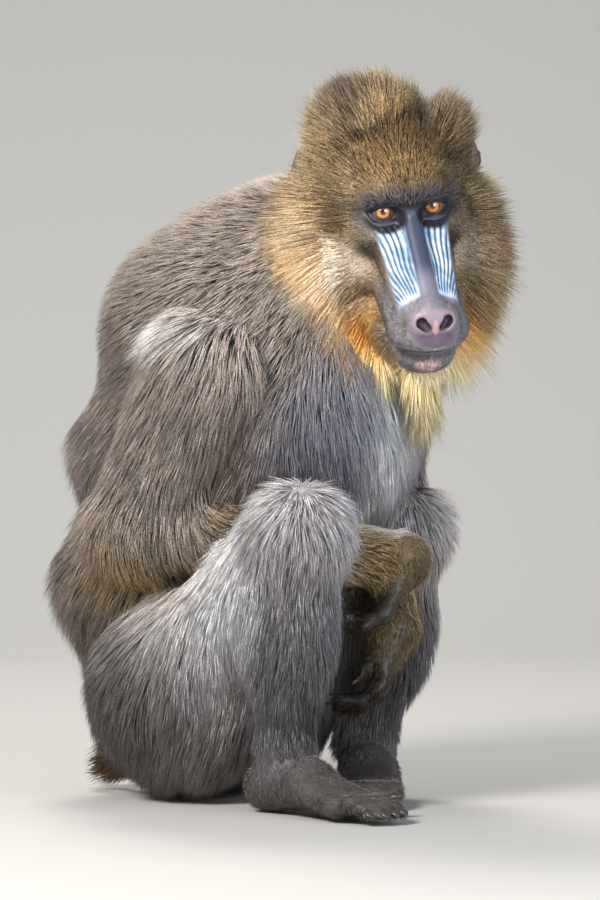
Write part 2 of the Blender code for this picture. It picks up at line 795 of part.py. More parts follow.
def head_lie(spot):
    """The coat of the head fans out and back from the face, and hangs under the cheeks."""
    q = in_head_frame(spot)
    fan = Vector((q.x, 0.030, q.z + 0.020))
    hang = Vector((q.x * 0.5, -0.010, -0.070))
    share = min(max((-0.045 - q.z) / 0.050, 0.0), 1.0)
    return HEAD_TURN @ (fan.normalized() * (1 - share) + hang.normalized() * share)


def off_the_face(spot):
    q = in_head_frame(spot)
    return abs(q.x) > FACE[0] or q.y > FACE[1] or q.z < FACE[2]


def make_head(before):
    size = LOCKS["ruff"]
    face, ruff = on_head(face_form()), on_head(ruff_form())
    outline = blended([face, ruff], 0.012)
    core = blended([face, inset(ruff, size["depth"])], 0.012)
    head = polygonised("head", core, (-0.20, -0.32, 0.28), (0.20, 0.04, 0.66), 0.0030, COUNTS["head"])
    avoid = nearest_of([inset(trunk_form(), OVERLAY), *(on_head(ear_form(s)) for s in (-1, 1)), *limb_forms()])
    grow_locks(head, outline, head_lie, avoid, size, off_the_face, 4)
    return carved(head, before)


def make_arm(side, before):
    """Upper arm, forearm and hand; the upper arm is carved later, by the body it hangs over."""
    size = LOCKS["arm"]
    outline = arm_form(side)
    core = arm_core(side, size["depth"])
    arm = polygonised(f"upper_arm_{side}", core, (-0.2, -0.25, 0.05), (0.2, 0.16, 0.46), 0.007, COUNTS["arm"])
    shoulder, bend = (Vector(joint) for joint in ARMS[side]["joints"][:2])
    lie = bend - shoulder + Vector((0, 0.01, -0.04))
    body = inset(trunk_form(), OVERLAY)
    avoid = nearest_of([body, on_head(ruff_form()), *(leg_form(one) for one in ("right", "left")), hand_form(side)])
    upper_only = lambda spot: (spot - bend).dot(shoulder - bend) > -0.0004
    grow_locks(arm, outline, lambda spot: lie, avoid, size, upper_only, 5)
    hand = polygonised(f"hand_{side}", hand_form(side), (-0.12, -0.25, 0.0), (0.12, 0.0, 0.28), 0.003, COUNTS["hand"])
    elbow, fold = fold_plane(ARMS[side]["joints"])
    upper, fore = split(arm, (f"upper_arm_{side}", f"forearm_{side}"), elbow, fold)
    wrist = Vector(ARMS[side]["joints"][2])
    way = (wrist - elbow).normalized() + Vector(ARMS[side]["ahead"]).normalized()
    keep_side(fore, wrist, way)
    keep_side(hand, wrist, -way)
    carved(fore, before)
    carved(hand, before)
    return upper, fore, hand


def trunk_lie(spot):
    """The coat of the trunk lies down and back, and streams back off the neck; the chest hangs."""
    high = min(max((spot.z - 0.30) / 0.12, 0.0), 1.0)
    front = min(max((-0.03 - spot.y) / 0.04, 0.0), 1.0)
    back = Vector((-0.15 * high, 0.45 + 0.55 * high, -1.0 + 0.40 * high))
    return back * (1 - front) + Vector((0, -0.12, -1.0)) * front


def make_trunk(before):
    """Torso and neck."""
    size = LOCKS["torso"]
    outline = trunk_form()
    core = blended([inset(outline, size["depth"]), egg(*SEAT)], 0.010)
    trunk = polygonised("torso", core, (-0.15, -0.22, -0.02), (0.15, 0.24, 0.58), 0.010, COUNTS["torso"])
    avoid = nearest_of([inset(on_head(ruff_form()), OVERLAY), on_head(face_form()), chain(TAIL_POINTS, TAIL_RADII), *limb_forms()])
    grow_locks(trunk, outline, trunk_lie, avoid, size, lambda spot: True, 7)
    carved(cut_floor(trunk), before)
    return split(trunk, ("torso", "neck"), (-0.004, -0.030, 0.440), (0.0, -0.80, 0.60))


def make_leg(side, before):
    """Thigh, shin and foot."""
    size = LOCKS["leg"]
    core = leg_core(side, size["depth"])
    leg = polygonised(f"thigh_{side}", core, (-0.2, -0.25, -0.02), (0.2, 0.2, 0.32), 0.008, COUNTS["leg"])
    knee, fold = fold_plane(LEGS[side]["joints"])
    avoid = nearest_of([inset(trunk_form(), OVERLAY), foot_form(side), *(make(one) for make in (arm_form, hand_form) for one in SIDES)])
    thigh_only = lambda spot: (spot - knee).dot(fold) < -0.002
    grow_locks(leg, leg_form(side), lambda spot: Vector((0, 0.25, -1)), avoid, size, thigh_only, 11)
    carved(cut_floor(leg), before)
    thigh, shin = split(leg, (f"thigh_{side}", f"shin_{side}"), knee, fold)
    foot = polygonised(f"foot_{side}", foot_form(side), (-0.2, -0.25, -0.02), (0.2, 0.1, 0.1), 0.003, COUNTS["foot"])
    cut_floor(foot)
    ankle = LEGS[side]["joints"][2]
    keep_side(shin, ankle, (0, 0, -1))
    keep_side(foot, ankle, (0, 0, 1))
    carved(foot, [*before, thigh])
    return thigh, shin, foot


def make_tail(before):
    size = LOCKS["tail"]
    outline = chain(TAIL_POINTS, TAIL_RADII)
    tail = polygonised("tail", inset(outline, size["depth"]), (-0.1, 0.05, -0.02), (0.1, 0.25, 0.12), 0.005, COUNTS["tail"])
    along = Vector(TAIL_POINTS[-1]) - Vector(TAIL_POINTS[0])
    grow_locks(tail, outline, lambda spot: along, nearest_of([trunk_form(), *limb_forms()]), size, lambda spot: True, 13)
    return carved(cut_floor(tail), before)


def main():
    clear_scene()
    nodes = make_features()
    nodes.append(make_head(nodes))
    uppers = []
    for side in ("right", "left"):
        upper, fore, hand = make_arm(side, nodes)
        nodes += [fore, hand]
        uppers.append(upper)
    nodes += make_trunk(nodes)
    for side in ("right", "left"):
        nodes += make_leg(side, nodes)
    for upper, fore in zip(uppers, ("forearm_right", "forearm_left")):
        carved(upper, nodes, [bpy.data.objects[fore]])
        nodes.append(upper)
    nodes.append(make_tail(nodes))
    finished()


main()
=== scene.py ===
"""A young mandrill sits on its haunches with its hands between its knees and looks past the camera.

Metres, +Z up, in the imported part's frame. One skin is polygonised from blended round cones and eggs,
and the coat over it is solid tufts whose length is whatever reaches from the skin to the coat's outline.
"""

import math

import bmesh
import bpy
import numpy as np
from mathutils import Matrix, Vector
from mathutils.kdtree import KDTree


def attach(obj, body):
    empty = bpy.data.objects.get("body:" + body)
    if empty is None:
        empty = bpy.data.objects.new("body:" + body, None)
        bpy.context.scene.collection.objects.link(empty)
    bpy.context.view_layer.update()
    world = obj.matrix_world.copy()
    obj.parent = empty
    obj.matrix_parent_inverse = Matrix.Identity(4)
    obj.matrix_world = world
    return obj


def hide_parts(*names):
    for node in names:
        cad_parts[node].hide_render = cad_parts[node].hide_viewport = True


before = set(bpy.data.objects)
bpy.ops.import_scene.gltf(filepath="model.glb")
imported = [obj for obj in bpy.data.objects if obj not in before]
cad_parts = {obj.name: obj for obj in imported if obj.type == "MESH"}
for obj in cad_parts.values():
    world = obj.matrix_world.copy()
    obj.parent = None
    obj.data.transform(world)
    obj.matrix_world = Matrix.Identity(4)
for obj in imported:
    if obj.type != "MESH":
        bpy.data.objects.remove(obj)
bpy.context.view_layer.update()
rng = np.random.default_rng(11)

# The body plan is laid out as in the part, and everything is moved back by this at the end.
MIDDLE = Vector((0.0008, -0.0100, 0.0))

PELVIS = ((0.0, 0.064, 0.088), (0.092, 0.104, 0.092))
LOIN = ((0.0, 0.080, 0.182), (0.100, 0.121, 0.092))
THORAX = ((0.0, 0.044, 0.290), (0.104, 0.140, 0.090))
WITHERS = ((-0.010, 0.024, 0.388), (0.100, 0.122, 0.104))
CHEST = ((0.018, -0.056, 0.320), (0.088, 0.080, 0.100))
NAPE = ((0.004, -0.024, 0.458), (0.048, 0.062, 0.062))
NECK_FROM = (0.000, 0.000, 0.420)
NECK_TO = (0.008, -0.076, 0.466)
NECK_RADII = (0.078, 0.048)
TAIL_POINTS = ((0.0, 0.105, 0.055), (0.004, 0.148, 0.031), (0.010, 0.165, 0.014))
TAIL_RADII = (0.030, 0.022, 0.014)

# Joints of each limb, the radii out to the coat there, and the radii of the flesh.
ARMS = {
    "right": {
        "joints": ((-0.080, -0.006, 0.370), (-0.112, 0.048, 0.236), (0.008, -0.135, 0.204)),
        "radii": (0.064, 0.042, 0.026),
        "flesh": (0.046, 0.030, 0.0195),
        "drape": ((-0.106, 0.052, 0.252), (0.044, 0.070, 0.058)),
        "ahead": (-0.45, 0.30, -0.84),
        "back_of_hand": (0.80, -0.50, 0.0),
    },
    "left": {
        "joints": ((0.090, -0.062, 0.378), (0.116, -0.032, 0.250), (0.036, -0.106, 0.142)),
        "radii": (0.058, 0.042, 0.025),
        "flesh": (0.042, 0.029, 0.0190),
        "drape": ((0.114, -0.034, 0.268), (0.042, 0.058, 0.055)),
        "ahead": (-0.30, 0.16, -0.94),
        "back_of_hand": (0.60, -0.78, 0.10),
    },
}
LEGS = {
    "right": {
        "haunch": ((-0.052, 0.042, 0.102), (0.068, 0.088, 0.096)),
        "joints": ((-0.052, 0.040, 0.100), (-0.094, -0.104, 0.232), (-0.086, -0.083, 0.052)),
        "radii": (0.078, 0.045, 0.027),
        "flesh": (0.062, 0.034, 0.0205),
        "calf": ((-0.090, -0.090, 0.150), (0.036, 0.040, 0.060)),
        "ahead": (-0.28, -0.96, 0.0),
    },
    "left": {
        "haunch": ((0.052, 0.048, 0.102), (0.068, 0.090, 0.096)),
        "joints": ((0.052, 0.042, 0.100), (0.098, -0.070, 0.222), (0.072, -0.056, 0.052)),
        "radii": (0.078, 0.044, 0.027),
        "flesh": (0.062, 0.034, 0.0205),
        "calf": ((0.090, -0.070, 0.145), (0.036, 0.040, 0.062)),
        "ahead": (-0.80, -0.60, 0.0),
    },
}

# The head is laid out in its own frame, facing -y, and turned afterwards.
HEAD_CENTRE = Vector((0.0100, -0.1259, 0.5103))
HEAD_TURN = (
    Matrix.Rotation(math.radians(-42), 3, "Z")
    @ Matrix.Rotation(math.radians(20), 3, "X")
    @ Matrix.Rotation(math.radians(-7), 3, "Y")
)
EYE = (0.0205, -0.0475, 0.0)
EYE_RADIUS = 0.0098
LID = 0.0017
# The blue ridge on the left of the nose runs from the eye to the nostril.
RIDGE_TOP = (0.0190, -0.0560, -0.0250)
RIDGE_END = (0.0125, -0.1130, -0.0620)
EAR = (0.077, 0.046, 0.010)


def egg(centre, radii):
    """Distance to an ellipsoid, close to true near its surface."""
    centre = np.array(centre)
    radii = np.array(radii)

    def distance(p):
        q = (p - centre) / radii
        k0 = np.linalg.norm(q, axis=1)
        k1 = np.linalg.norm(q / radii, axis=1)
        return k0 * (k0 - 1.0) / np.maximum(k1, 1e-9)

    return distance


def cone(start, end, start_radius, end_radius):
    """Distance to a round cone between two balls."""
    start = np.array(start)
    along = np.array(end) - start
    length_squared = along @ along

    def distance(p):
        t = np.clip((p - start) @ along / length_squared, 0.0, 1.0)
        nearest = start + t[:, None] * along
        return np.linalg.norm(p - nearest, axis=1) - (start_radius + t * (end_radius - start_radius))

    return distance


def half_space(point, normal):
    """Negative on the side of a plane that its normal points away from."""
    point = np.array(point)
    normal = np.array(Vector(normal).normalized())
    return lambda p: (p - point) @ normal


def blended(forms, width):
    """Union of several forms with fillets of about that width."""

    def distance(p):
        total = forms[0](p)
        for form in forms[1:]:
            other = form(p)
            near = np.maximum(width - np.abs(total - other), 0.0) / width
            total = np.minimum(total, other) - near * near * width / 4
        return total

    return distance


def hollowed(form, cutters, width):
    """A form with cutters taken out of it, their edges eased by about that width."""

    def distance(p):
        total = form(p)
        for cutter in cutters:
            other = -cutter(p)
            near = np.maximum(width - np.abs(total - other), 0.0) / width
            total = np.maximum(total, other) + near * near * width / 4
        return total

    return distance


def shared(forms):
    """What several forms have in common."""
    return lambda p: np.max([form(p) for form in forms], axis=0)


def shrunk(form, depth):
    return lambda p: form(p) + depth


def within_ball(form, centre, radius):
    """A form that is only worked out near its own place."""
    centre = np.array(centre)

    def distance(p):
        away = np.linalg.norm(p - centre, axis=1) - radius
        near = away < 0.02
        if near.any():
            away[near] = form(p[near])
        return away

    return distance


def chain(points, radii, blend=0.01):
    """Round cones end to end."""
    links = [cone(a, b, ra, rb) for a, b, ra, rb in zip(points, points[1:], radii, radii[1:])]
    return blended(links, blend) if len(links) > 1 else links[0]


def placed(form, centre, turn):
    """A form given in a frame of its own, as seen from the frame that holds it."""
    turn = np.array(turn)
    centre = np.array(centre)
    return lambda p: form((p - centre) @ turn)


def on_head(form):
    return placed(form, HEAD_CENTRE, HEAD_TURN)


def to_head(p):
    return (p - np.array(HEAD_CENTRE)) @ np.array(HEAD_TURN)


def pair(form_of_side):
    """The two forms that a function of side (-1 right, +1 left) makes."""
    return [form_of_side(-1), form_of_side(1)]


def mirrored(s, place):
    """A place given for the left, on side s."""
    return (s * place[0], place[1], place[2])


def twin_eggs(centre, radii):
    return pair(lambda s: egg(mirrored(s, centre), radii))


def twin_cones(start, end, *radii):
    return pair(lambda s: cone(mirrored(s, start), mirrored(s, end), *radii))


def lid_form(s):
    """Both lids of one eye: a shell over the ball, open in an almond between two tilted planes."""
    centre = mirrored(s, EYE)
    hinge = (centre[0], centre[1] + 0.0025, centre[2] - 0.0003)
    shell = egg(centre, (EYE_RADIUS + LID,) * 3)
    opening = shared([half_space(hinge, (0, 0.50, 0.87)), half_space(hinge, (0, 0.44, -0.90))])
    return hollowed(shell, [opening], 0.0012)


def ridge_place(q):
    """Place on a ridge: 0 to 1 down it, metres out from the middle and metres above its axis."""
    top = np.array(RIDGE_TOP)
    way = np.array(RIDGE_END) - top
    over = np.array((0.0, way[2], -way[1])) / np.hypot(way[1], way[2])
    folded = q.copy()
    folded[:, 0] = np.abs(q[:, 0])
    t = (folded - top) @ way / (way @ way)
    return t, folded[:, 0], (folded - top) @ over


def mouth_line(q):
    """Height above the line of the mouth."""
    return q[:, 2] + 0.0920 - (q[:, 1] + 0.135) * 0.02


def groove_depth(q):
    """Depth of the ridges' grooves, from 0 to 1. They fan up and out from the nostril."""
    t, out, height = ridge_place(q)
    spread = 0.34 + 0.75 * np.clip(1.10 - t, 0.0, 2.0)
    phase = (out - 0.0085 + 0.0007 * np.sin(9.0 * t)) / (0.0044 * spread)
    width = 0.24 + 0.10 * np.clip(t, 0.0, 1.0)
    sharp = np.exp(-((np.abs(phase - np.round(phase)) / width) ** 2))
    ends = smooth((t + 0.20) / 0.14) * smooth((1.00 - t) / 0.14) * smooth((out - 0.0070) / 0.0025)
    outer = smooth((0.0315 - 0.0050 * t - out) / 0.0040) * smooth((height + 0.0090) / 0.0030)
    return sharp * ends * outer


def smooth(x):
    x = np.clip(x, 0.0, 1.0)
    return x * x * (3 - 2 * x)


def nostril_form(s):
    """One nostril, a slanted opening that is highest at its outer end."""
    return cone((s * 0.0064, -0.1400, -0.0698), (s * 0.0106, -0.1370, -0.0648), 0.0034, 0.0046)


def face_form(fine=True):
    """The skull, muzzle, jaw, brow and lids."""
    skull = egg((0, 0.004, 0.006), (0.052, 0.062, 0.046))
    cheeks = twin_eggs((0.034, -0.030, -0.020), (0.020, 0.028, 0.020))
    jowls = twin_eggs((0.032, -0.016, -0.044), (0.022, 0.036, 0.036))
    brow = twin_cones((0, -0.0555, 0.0125), (0.031, -0.0490, 0.0100), 0.0080, 0.0070)
    bridge = cone((0, -0.0530, 0.0000), (0, -0.1240, -0.0580), 0.0085, 0.0100)
    ridges = twin_cones(RIDGE_TOP, RIDGE_END, 0.0150, 0.0120)
    muzzle = twin_cones((0.0120, -0.0300, -0.0480), (0.0120, -0.1060, -0.0790), 0.0230, 0.0200)
    nose = egg((0, -0.1270, -0.0650), (0.0170, 0.0130, 0.0145))
    alae = twin_eggs((0.0108, -0.1275, -0.0680), (0.0095, 0.0115, 0.0098))
    lip = egg((0, -0.1100, -0.0830), (0.0310, 0.0280, 0.0180))
    lower_jaw = twin_cones((0.0190, -0.0200, -0.0860), (0.0100, -0.0930, -0.1060), 0.0200, 0.0140)
    chin = egg((0, -0.1010, -0.1080), (0.0210, 0.0190, 0.0135))
    whole = blended(
        [skull, *cheeks, *jowls, *brow, bridge, *ridges, *muzzle, nose, *alae, lip, *lower_jaw, chin], 0.008
    )
    sockets = twin_eggs((0.0215, -0.0640, -0.0010), (0.0140, 0.0110, 0.0080))
    nostrils = pair(nostril_form)
    whole = hollowed(whole, sockets, 0.006)
    whole = hollowed(whole, nostrils, 0.0025)
    whole = blended([whole, *pair(lid_form)], 0.0030)

    def with_lines(p):
        """The line of the mouth, which fades out at the corners, and the grooves of the ridges."""
        distance = whole(p)
        depth = 0.0050 * np.clip((-0.074 - p[:, 1]) / 0.014, 0.0, 1.0)
        groove = np.maximum(np.abs(mouth_line(p)) - 0.0011, -(distance + depth))
        distance = np.maximum(distance, -groove)
        if fine:
            distance = distance + 0.0011 * groove_depth(p) * smooth((-0.056 - p[:, 1]) / 0.004)
        return distance

    return with_lines


def ruff_form():
    """The crown, cheek ruff and beard, out to the tips."""
    ruff = egg((-0.006, 0.010, -0.022), (0.090, 0.058, 0.078))
    cheeks = pair(lambda s: egg((s * 0.054 - 0.006, 0.002, -0.058), (0.048, 0.050, 0.064)))
    crown = egg((-0.016, 0.012, 0.040), (0.060, 0.054, 0.062))
    tuft = egg((0.042, 0.010, 0.036), (0.034, 0.044, 0.040))
    beard = cone((0, -0.060, -0.112), (0, -0.088, -0.184), 0.040, 0.012)
    sides = twin_cones((0.046, -0.004, -0.088), (0.014, -0.072, -0.158), 0.040, 0.016)
    return blended([ruff, *cheeks, crown, tuft, *sides, beard], 0.024)


def ear_form(s):
    """The cup of one ear, which opens sideways and forward."""
    turn = Matrix.Rotation(s * math.radians(28), 3, "Z") @ Matrix.Rotation(s * math.radians(-14), 3, "Y")
    shell = egg((0, 0, 0), (0.0090, 0.0150, 0.0180))
    cup = egg((s * 0.0080, -0.0040, 0.0010), (0.0120, 0.0112, 0.0136))
    root = cone((-s * 0.034, -0.016, -0.004), (-s * 0.002, 0.002, -0.002), 0.0110, 0.0090)
    lobe = cone((s * 0.001, -0.007, -0.011), (s * 0.003, -0.009, -0.003), 0.0032, 0.0028)
    whole = hollowed(blended([shell, root], 0.006), [cup], 0.003)
    return placed(blended([whole, lobe], 0.003), (s * (EAR[0] - 0.006), EAR[1] - 0.004, EAR[2] - 0.002), turn)


# Tip, way, back and size of each nail: five on each hand, then five on each foot.
nails = []
FINGER_NAIL = 0.0034
TOE_NAIL = 0.0040
GREAT_NAIL = 0.0052


def digit(start, ahead, bend_axis, lengths, radii, bends, nail_radius, back=None):
    """The form of a finger or toe. Its nail goes on the list."""
    points = [Vector(start)]
    way = Vector(ahead).normalized()
    for length, bend in zip(lengths, bends):
        way = Matrix.Rotation(math.radians(bend), 3, bend_axis) @ way
        points.append(points[-1] + way * length)
    if back is None:
        back = bend_axis.cross(way) * -1
    nails.append((points[-1], way, back, nail_radius))
    return chain(points, radii, 0.004)


def limb_frame(ahead, up):
    """Ahead, across and up at right angles. Across is the animal's left when ahead is -Y."""
    ahead = Vector(ahead).normalized()
    up = Vector(up)
    up = (up - ahead * up.dot(ahead)).normalized()
    return ahead, up.cross(ahead), up


def hand_form(side):
    """Back of the hand, four fingers that curl and a thumb."""
    s = SIGN[side]
    plan = ARMS[side]
    wrist = Vector(plan["joints"][2])
    ahead, across, up = limb_frame(plan["ahead"], plan["back_of_hand"])
    forms = [cone(wrist, wrist + ahead * 0.018, plan["radii"][2], 0.020)]
    for place, reach in ((-1.5, 0.94), (-0.5, 1.0), (0.5, 0.98), (1.5, 0.88)):
        knuckle = wrist + ahead * 0.050 * reach + across * place * 0.0112 + up * 0.004
        root = wrist + ahead * 0.010 + across * place * 0.0070 + up * 0.003
        forms.append(cone(root, knuckle, 0.0120, 0.0085))
        lengths = (0.021 * reach, 0.016 * reach, 0.013 * reach)
        radii = (0.0080, 0.0074, 0.0066, 0.0056)
        forms.append(digit(knuckle, ahead, across, lengths, radii, (34, 38, 26), FINGER_NAIL))
    thumb = wrist + ahead * 0.022 - across * s * 0.014 - up * 0.006
    aside = ahead - across * s * 0.5 - up * 0.3
    radii = (0.0085, 0.0070, 0.0056)
    forms.append(digit(thumb, aside, across, (0.018, 0.015), radii, (0, 20), FINGER_NAIL))
    return within_ball(blended(forms, 0.006), wrist + ahead * 0.04, 0.085)


def foot_form(side):
    """A flat foot: heel, sole, four toes and a great toe that stands off."""
    s = SIGN[side]
    plan = LEGS[side]
    ankle = Vector(plan["joints"][2])
    ahead, across, up = limb_frame(plan["ahead"], (0, 0, 1))
    ground = Vector((ankle.x, ankle.y, 0.0))
    heel = ground - ahead * 0.018 + up * 0.021
    arch = ground + ahead * 0.034 + up * 0.028
    forms = [
        cone(ankle, ground + ahead * 0.004 + up * 0.034, plan["radii"][2], 0.026),
        cone(heel, arch, 0.0235, 0.0230),
    ]
    for place, reach in ((-1.5, 0.90), (-0.5, 1.0), (0.5, 0.98), (1.5, 0.90)):
        ball = ground + ahead * (0.078 + 0.010 * reach) + across * place * 0.0118 + up * 0.0130
        root = arch + across * place * 0.0080 - up * 0.004
        forms.append(cone(root, ball, 0.0160, 0.0105))
        lengths = (0.022 * reach, 0.015 * reach, 0.011 * reach)
        radii = (0.0100, 0.0086, 0.0078, 0.0066)
        forms.append(digit(ball, ahead, across, lengths, radii, (-8, 18, 20), TOE_NAIL))
    hallux = ground + ahead * 0.050 - across * s * 0.016 + up * 0.014
    aside = ahead - across * s * 0.85
    radii = (0.0130, 0.0100, 0.0080)
    forms.append(digit(hallux, aside, up, (0.028, 0.018), radii, (0, s * 12), GREAT_NAIL, up))
    return within_ball(blended(forms, 0.007), ground + ahead * 0.06, 0.11)


def trunk_form():
    """Torso and neck together, out to the coat."""
    eggs = [egg(*part) for part in (PELVIS, LOIN, THORAX, WITHERS, CHEST, NAPE)]
    return blended([*eggs, cone(NECK_FROM, NECK_TO, *NECK_RADII)], 0.05)


def arm_form(side):
    plan = ARMS[side]
    return blended([chain(plan["joints"], plan["radii"], 0.02), egg(*plan["drape"])], 0.03)


def leg_form(side):
    plan = LEGS[side]
    bones = chain(plan["joints"], plan["radii"], 0.02)
    return blended([egg(*plan["haunch"]), bones, egg(*plan["calf"])], 0.035)


def leg_flesh(side):
    plan = LEGS[side]
    haunch = shrunk(egg(*plan["haunch"]), 0.015)
    calf = shrunk(egg(*plan["calf"]), 0.010)
    return blended([haunch, chain(plan["joints"], plan["flesh"], 0.02), calf], 0.03)


HEAD_BALL = (HEAD_CENTRE + HEAD_TURN @ Vector((0, -0.03, -0.05)), 0.19)
SIDES = ("right", "left")
SIGN = {"right": -1, "left": 1}
HANDS = {side: hand_form(side) for side in SIDES}
FEET = {side: foot_form(side) for side in SIDES}
TRUNK_COAT = trunk_form()
TEMPLES = [
    egg((0.066, 0.014, 0.018), (0.030, 0.036, 0.042)),
    egg((-0.070, 0.014, 0.008), (0.028, 0.034, 0.040)),
]
HEAD_COAT = within_ball(on_head(blended([face_form(False), ruff_form(), *TEMPLES], 0.012)), *HEAD_BALL)
TAIL_COAT = chain(TAIL_POINTS, TAIL_RADII)
ARM_COATS = {side: arm_form(side) for side in SIDES}
LEG_COATS = {side: leg_form(side) for side in SIDES}


def coat_distance(p):
    """Distance to the outline of the whole coat, negative inside."""
    forms = [TRUNK_COAT, HEAD_COAT, TAIL_COAT]
    forms += [f[side] for f in (HANDS, FEET, ARM_COATS, LEG_COATS) for side in SIDES]
    return np.min([form(p) for form in forms], axis=0)


def skin_form():
    """The flesh of the whole animal, with a core under the ruff that stops half way to its tips."""
    head = within_ball(on_head(blended([face_form(), shrunk(ruff_form(), 0.022)], 0.010)), *HEAD_BALL)
    forms = [shrunk(TRUNK_COAT, 0.016), head, shrunk(TAIL_COAT, 0.009)]
    for side in SIDES:
        forms.append(chain(ARMS[side]["joints"], ARMS[side]["flesh"], 0.02))
        forms.append(leg_flesh(side))
    whole = blended(forms, 0.010)
    ends = [shrunk(f[side], 0.0022) for f in (HANDS, FEET) for side in SIDES]
    whole = blended([whole, *ends], 0.004)
    return hollowed(whole, [half_space((0, 0, 0.0012), (0, 0, 1))], 0.002)


def spaced(stops):
    """Grid lines from one stop to the next, each stretch with its own step."""
    lines = [stops[0][0]]
    for (start, step), (end, _) in zip(stops, stops[1:]):
        count = max(1, round((end - start) / step))
        lines += list(np.linspace(start, end, count + 1)[1:])
    return np.array(lines)


# Grid lines along one side of a block, and blocks worked out in one go.
BLOCK = 8
BLOCKS_AT_ONCE = 400


def sampled(form, axes):
    """The form's values on a grid; blocks far from the surface keep the value at their middle."""
    counts = [len(axis) for axis in axes]
    values = np.empty(counts)
    spans = [[slice(i, min(i + BLOCK, n)) for i in range(0, n, BLOCK)] for n in counts]
    boxes = [(a, b, c) for a in spans[0] for b in spans[1] for c in spans[2]]
    lows = np.array([[axes[k][box[k].start] for k in range(3)] for box in boxes])
    highs = np.array([[axes[k][box[k].stop - 1] for k in range(3)] for box in boxes])
    at_middle = form((lows + highs) / 2)
    reach = np.linalg.norm(highs - lows, axis=1) / 2
    near = np.abs(at_middle) < reach * 1.6 + 0.008
    for k in np.flatnonzero(~near):
        values[boxes[k]] = at_middle[k]
    chosen = np.flatnonzero(near)
    for first in range(0, len(chosen), BLOCKS_AT_ONCE):
        some = [boxes[k] for k in chosen[first : first + BLOCKS_AT_ONCE]]
        grids = [np.meshgrid(*(axes[k][box[k]] for k in range(3)), indexing="ij") for box in some]
        places = [np.stack(grid, axis=-1).reshape(-1, 3) for grid in grids]
        worked = np.split(form(np.concatenate(places)), np.cumsum([len(p) for p in places])[:-1])
        for box, grid, part in zip(some, grids, worked):
            values[box] = part.reshape(grid[0].shape)
    return values


def without_checkers(values):
    """Opens grid faces whose corners are inside and outside by turns, where a surface net would pinch."""
    for _ in range(12):
        inside = values < 0
        doomed = np.zeros_like(inside)
        for axis_a, axis_b in ((0, 1), (1, 2), (0, 2)):
            corners = []
            for shift_a, shift_b in ((0, 0), (1, 0), (1, 1), (0, 1)):
                window = [slice(None)] * 3
                window[axis_a] = slice(shift_a, inside.shape[axis_a] - 1 + shift_a)
                window[axis_b] = slice(shift_b, inside.shape[axis_b] - 1 + shift_b)
                corners.append((tuple(window), inside[tuple(window)]))
            a, b, c, d = (corner[1] for corner in corners)
            doomed[corners[0][0]] |= a & ~b & c & ~d
            doomed[corners[1][0]] |= ~a & b & ~c & d
        if not doomed.any():
            break
        values[doomed] = 1e-5
    return values


def surface_net(form, axes):
    """Vertices and quads of the form's zero surface on a grid of those lines."""
    values = without_checkers(sampled(form, axes))
    inside = values < 0
    counts = np.array(values.shape)
    cells = tuple(counts - 1)
    total = np.zeros((*cells, 3))
    hits = np.zeros(cells)
    crossings = []
    for axis in range(3):
        first = np.moveaxis(values, axis, 0)[:-1]
        second = np.moveaxis(values, axis, 0)[1:]
        crosses = (first < 0) != (second < 0)
        at = np.argwhere(np.moveaxis(crosses, 0, axis))
        crossings.append(np.moveaxis(crosses, 0, axis))
        ahead = at.copy()
        ahead[:, axis] += 1
        low, high = values[tuple(at.T)], values[tuple(ahead.T)]
        share = low / (low - high)
        point = np.stack([axes[k][at[:, k]] for k in range(3)], axis=1)
        point[:, axis] += share * (axes[axis][ahead[:, axis]] - axes[axis][at[:, axis]])
        others = [i for i in range(3) if i != axis]
        for back_a in (0, 1):
            for back_b in (0, 1):
                cell = at.copy()
                cell[:, others[0]] -= back_a
                cell[:, others[1]] -= back_b
                ok = np.all((cell >= 0) & (cell < np.array(cells)), axis=1)
                np.add.at(total, tuple(cell[ok].T), point[ok])
                np.add.at(hits, tuple(cell[ok].T), 1)
    used = hits > 0
    index = np.full(cells, -1)
    index[used] = np.arange(used.sum())
    points = total[used] / hits[used][:, None]
    quads = []
    for axis in range(3):
        a, b = (axis + 1) % 3, (axis + 2) % 3
        at = np.argwhere(crossings[axis])
        at = at[(at[:, a] > 0) & (at[:, b] > 0) & (at[:, a] < cells[a]) & (at[:, b] < cells[b])]
        corners = []
        for da, db in ((-1, -1), (0, -1), (0, 0), (-1, 0)):
            shifted = at.copy()
            shifted[:, a] += da
            shifted[:, b] += db
            corners.append(index[tuple(shifted.T)])
        quad = np.stack(corners, axis=1)
        flip = ~inside[tuple(at.T)]
        quad[flip] = quad[flip][:, ::-1]
        quads.append(quad)
    return points, np.concatenate(quads)


def gradient(form, points, step=0.0003):
    """The outward slope of the form's distance at each point."""
    slopes = []
    for axis in range(3):
        shift = np.zeros(3)
        shift[axis] = step
        slopes.append((form(points + shift) - form(points - shift)) / (2 * step))
    return np.stack(slopes, axis=1)


def settled(form, points, reach, rounds=3):
    """Points moved onto the form's surface, by at most that reach."""
    moved = points.copy()
    for _ in range(rounds):
        slope = gradient(form, moved)
        size = np.maximum((slope * slope).sum(axis=1), 0.05)
        moved -= form(moved)[:, None] * slope / size[:, None]
    shift = moved - points
    length = np.linalg.norm(shift, axis=1)
    return points + shift * np.minimum(1.0, reach / np.maximum(length, 1e-9))[:, None]


def shade_smooth(mesh):
    mesh.polygons.foreach_set("use_smooth", np.ones(len(mesh.polygons), bool))


def linked(name, data):
    """An object with that data, put in the scene."""
    made = bpy.data.objects.new(name, data)
    bpy.context.scene.collection.objects.link(made)
    return made


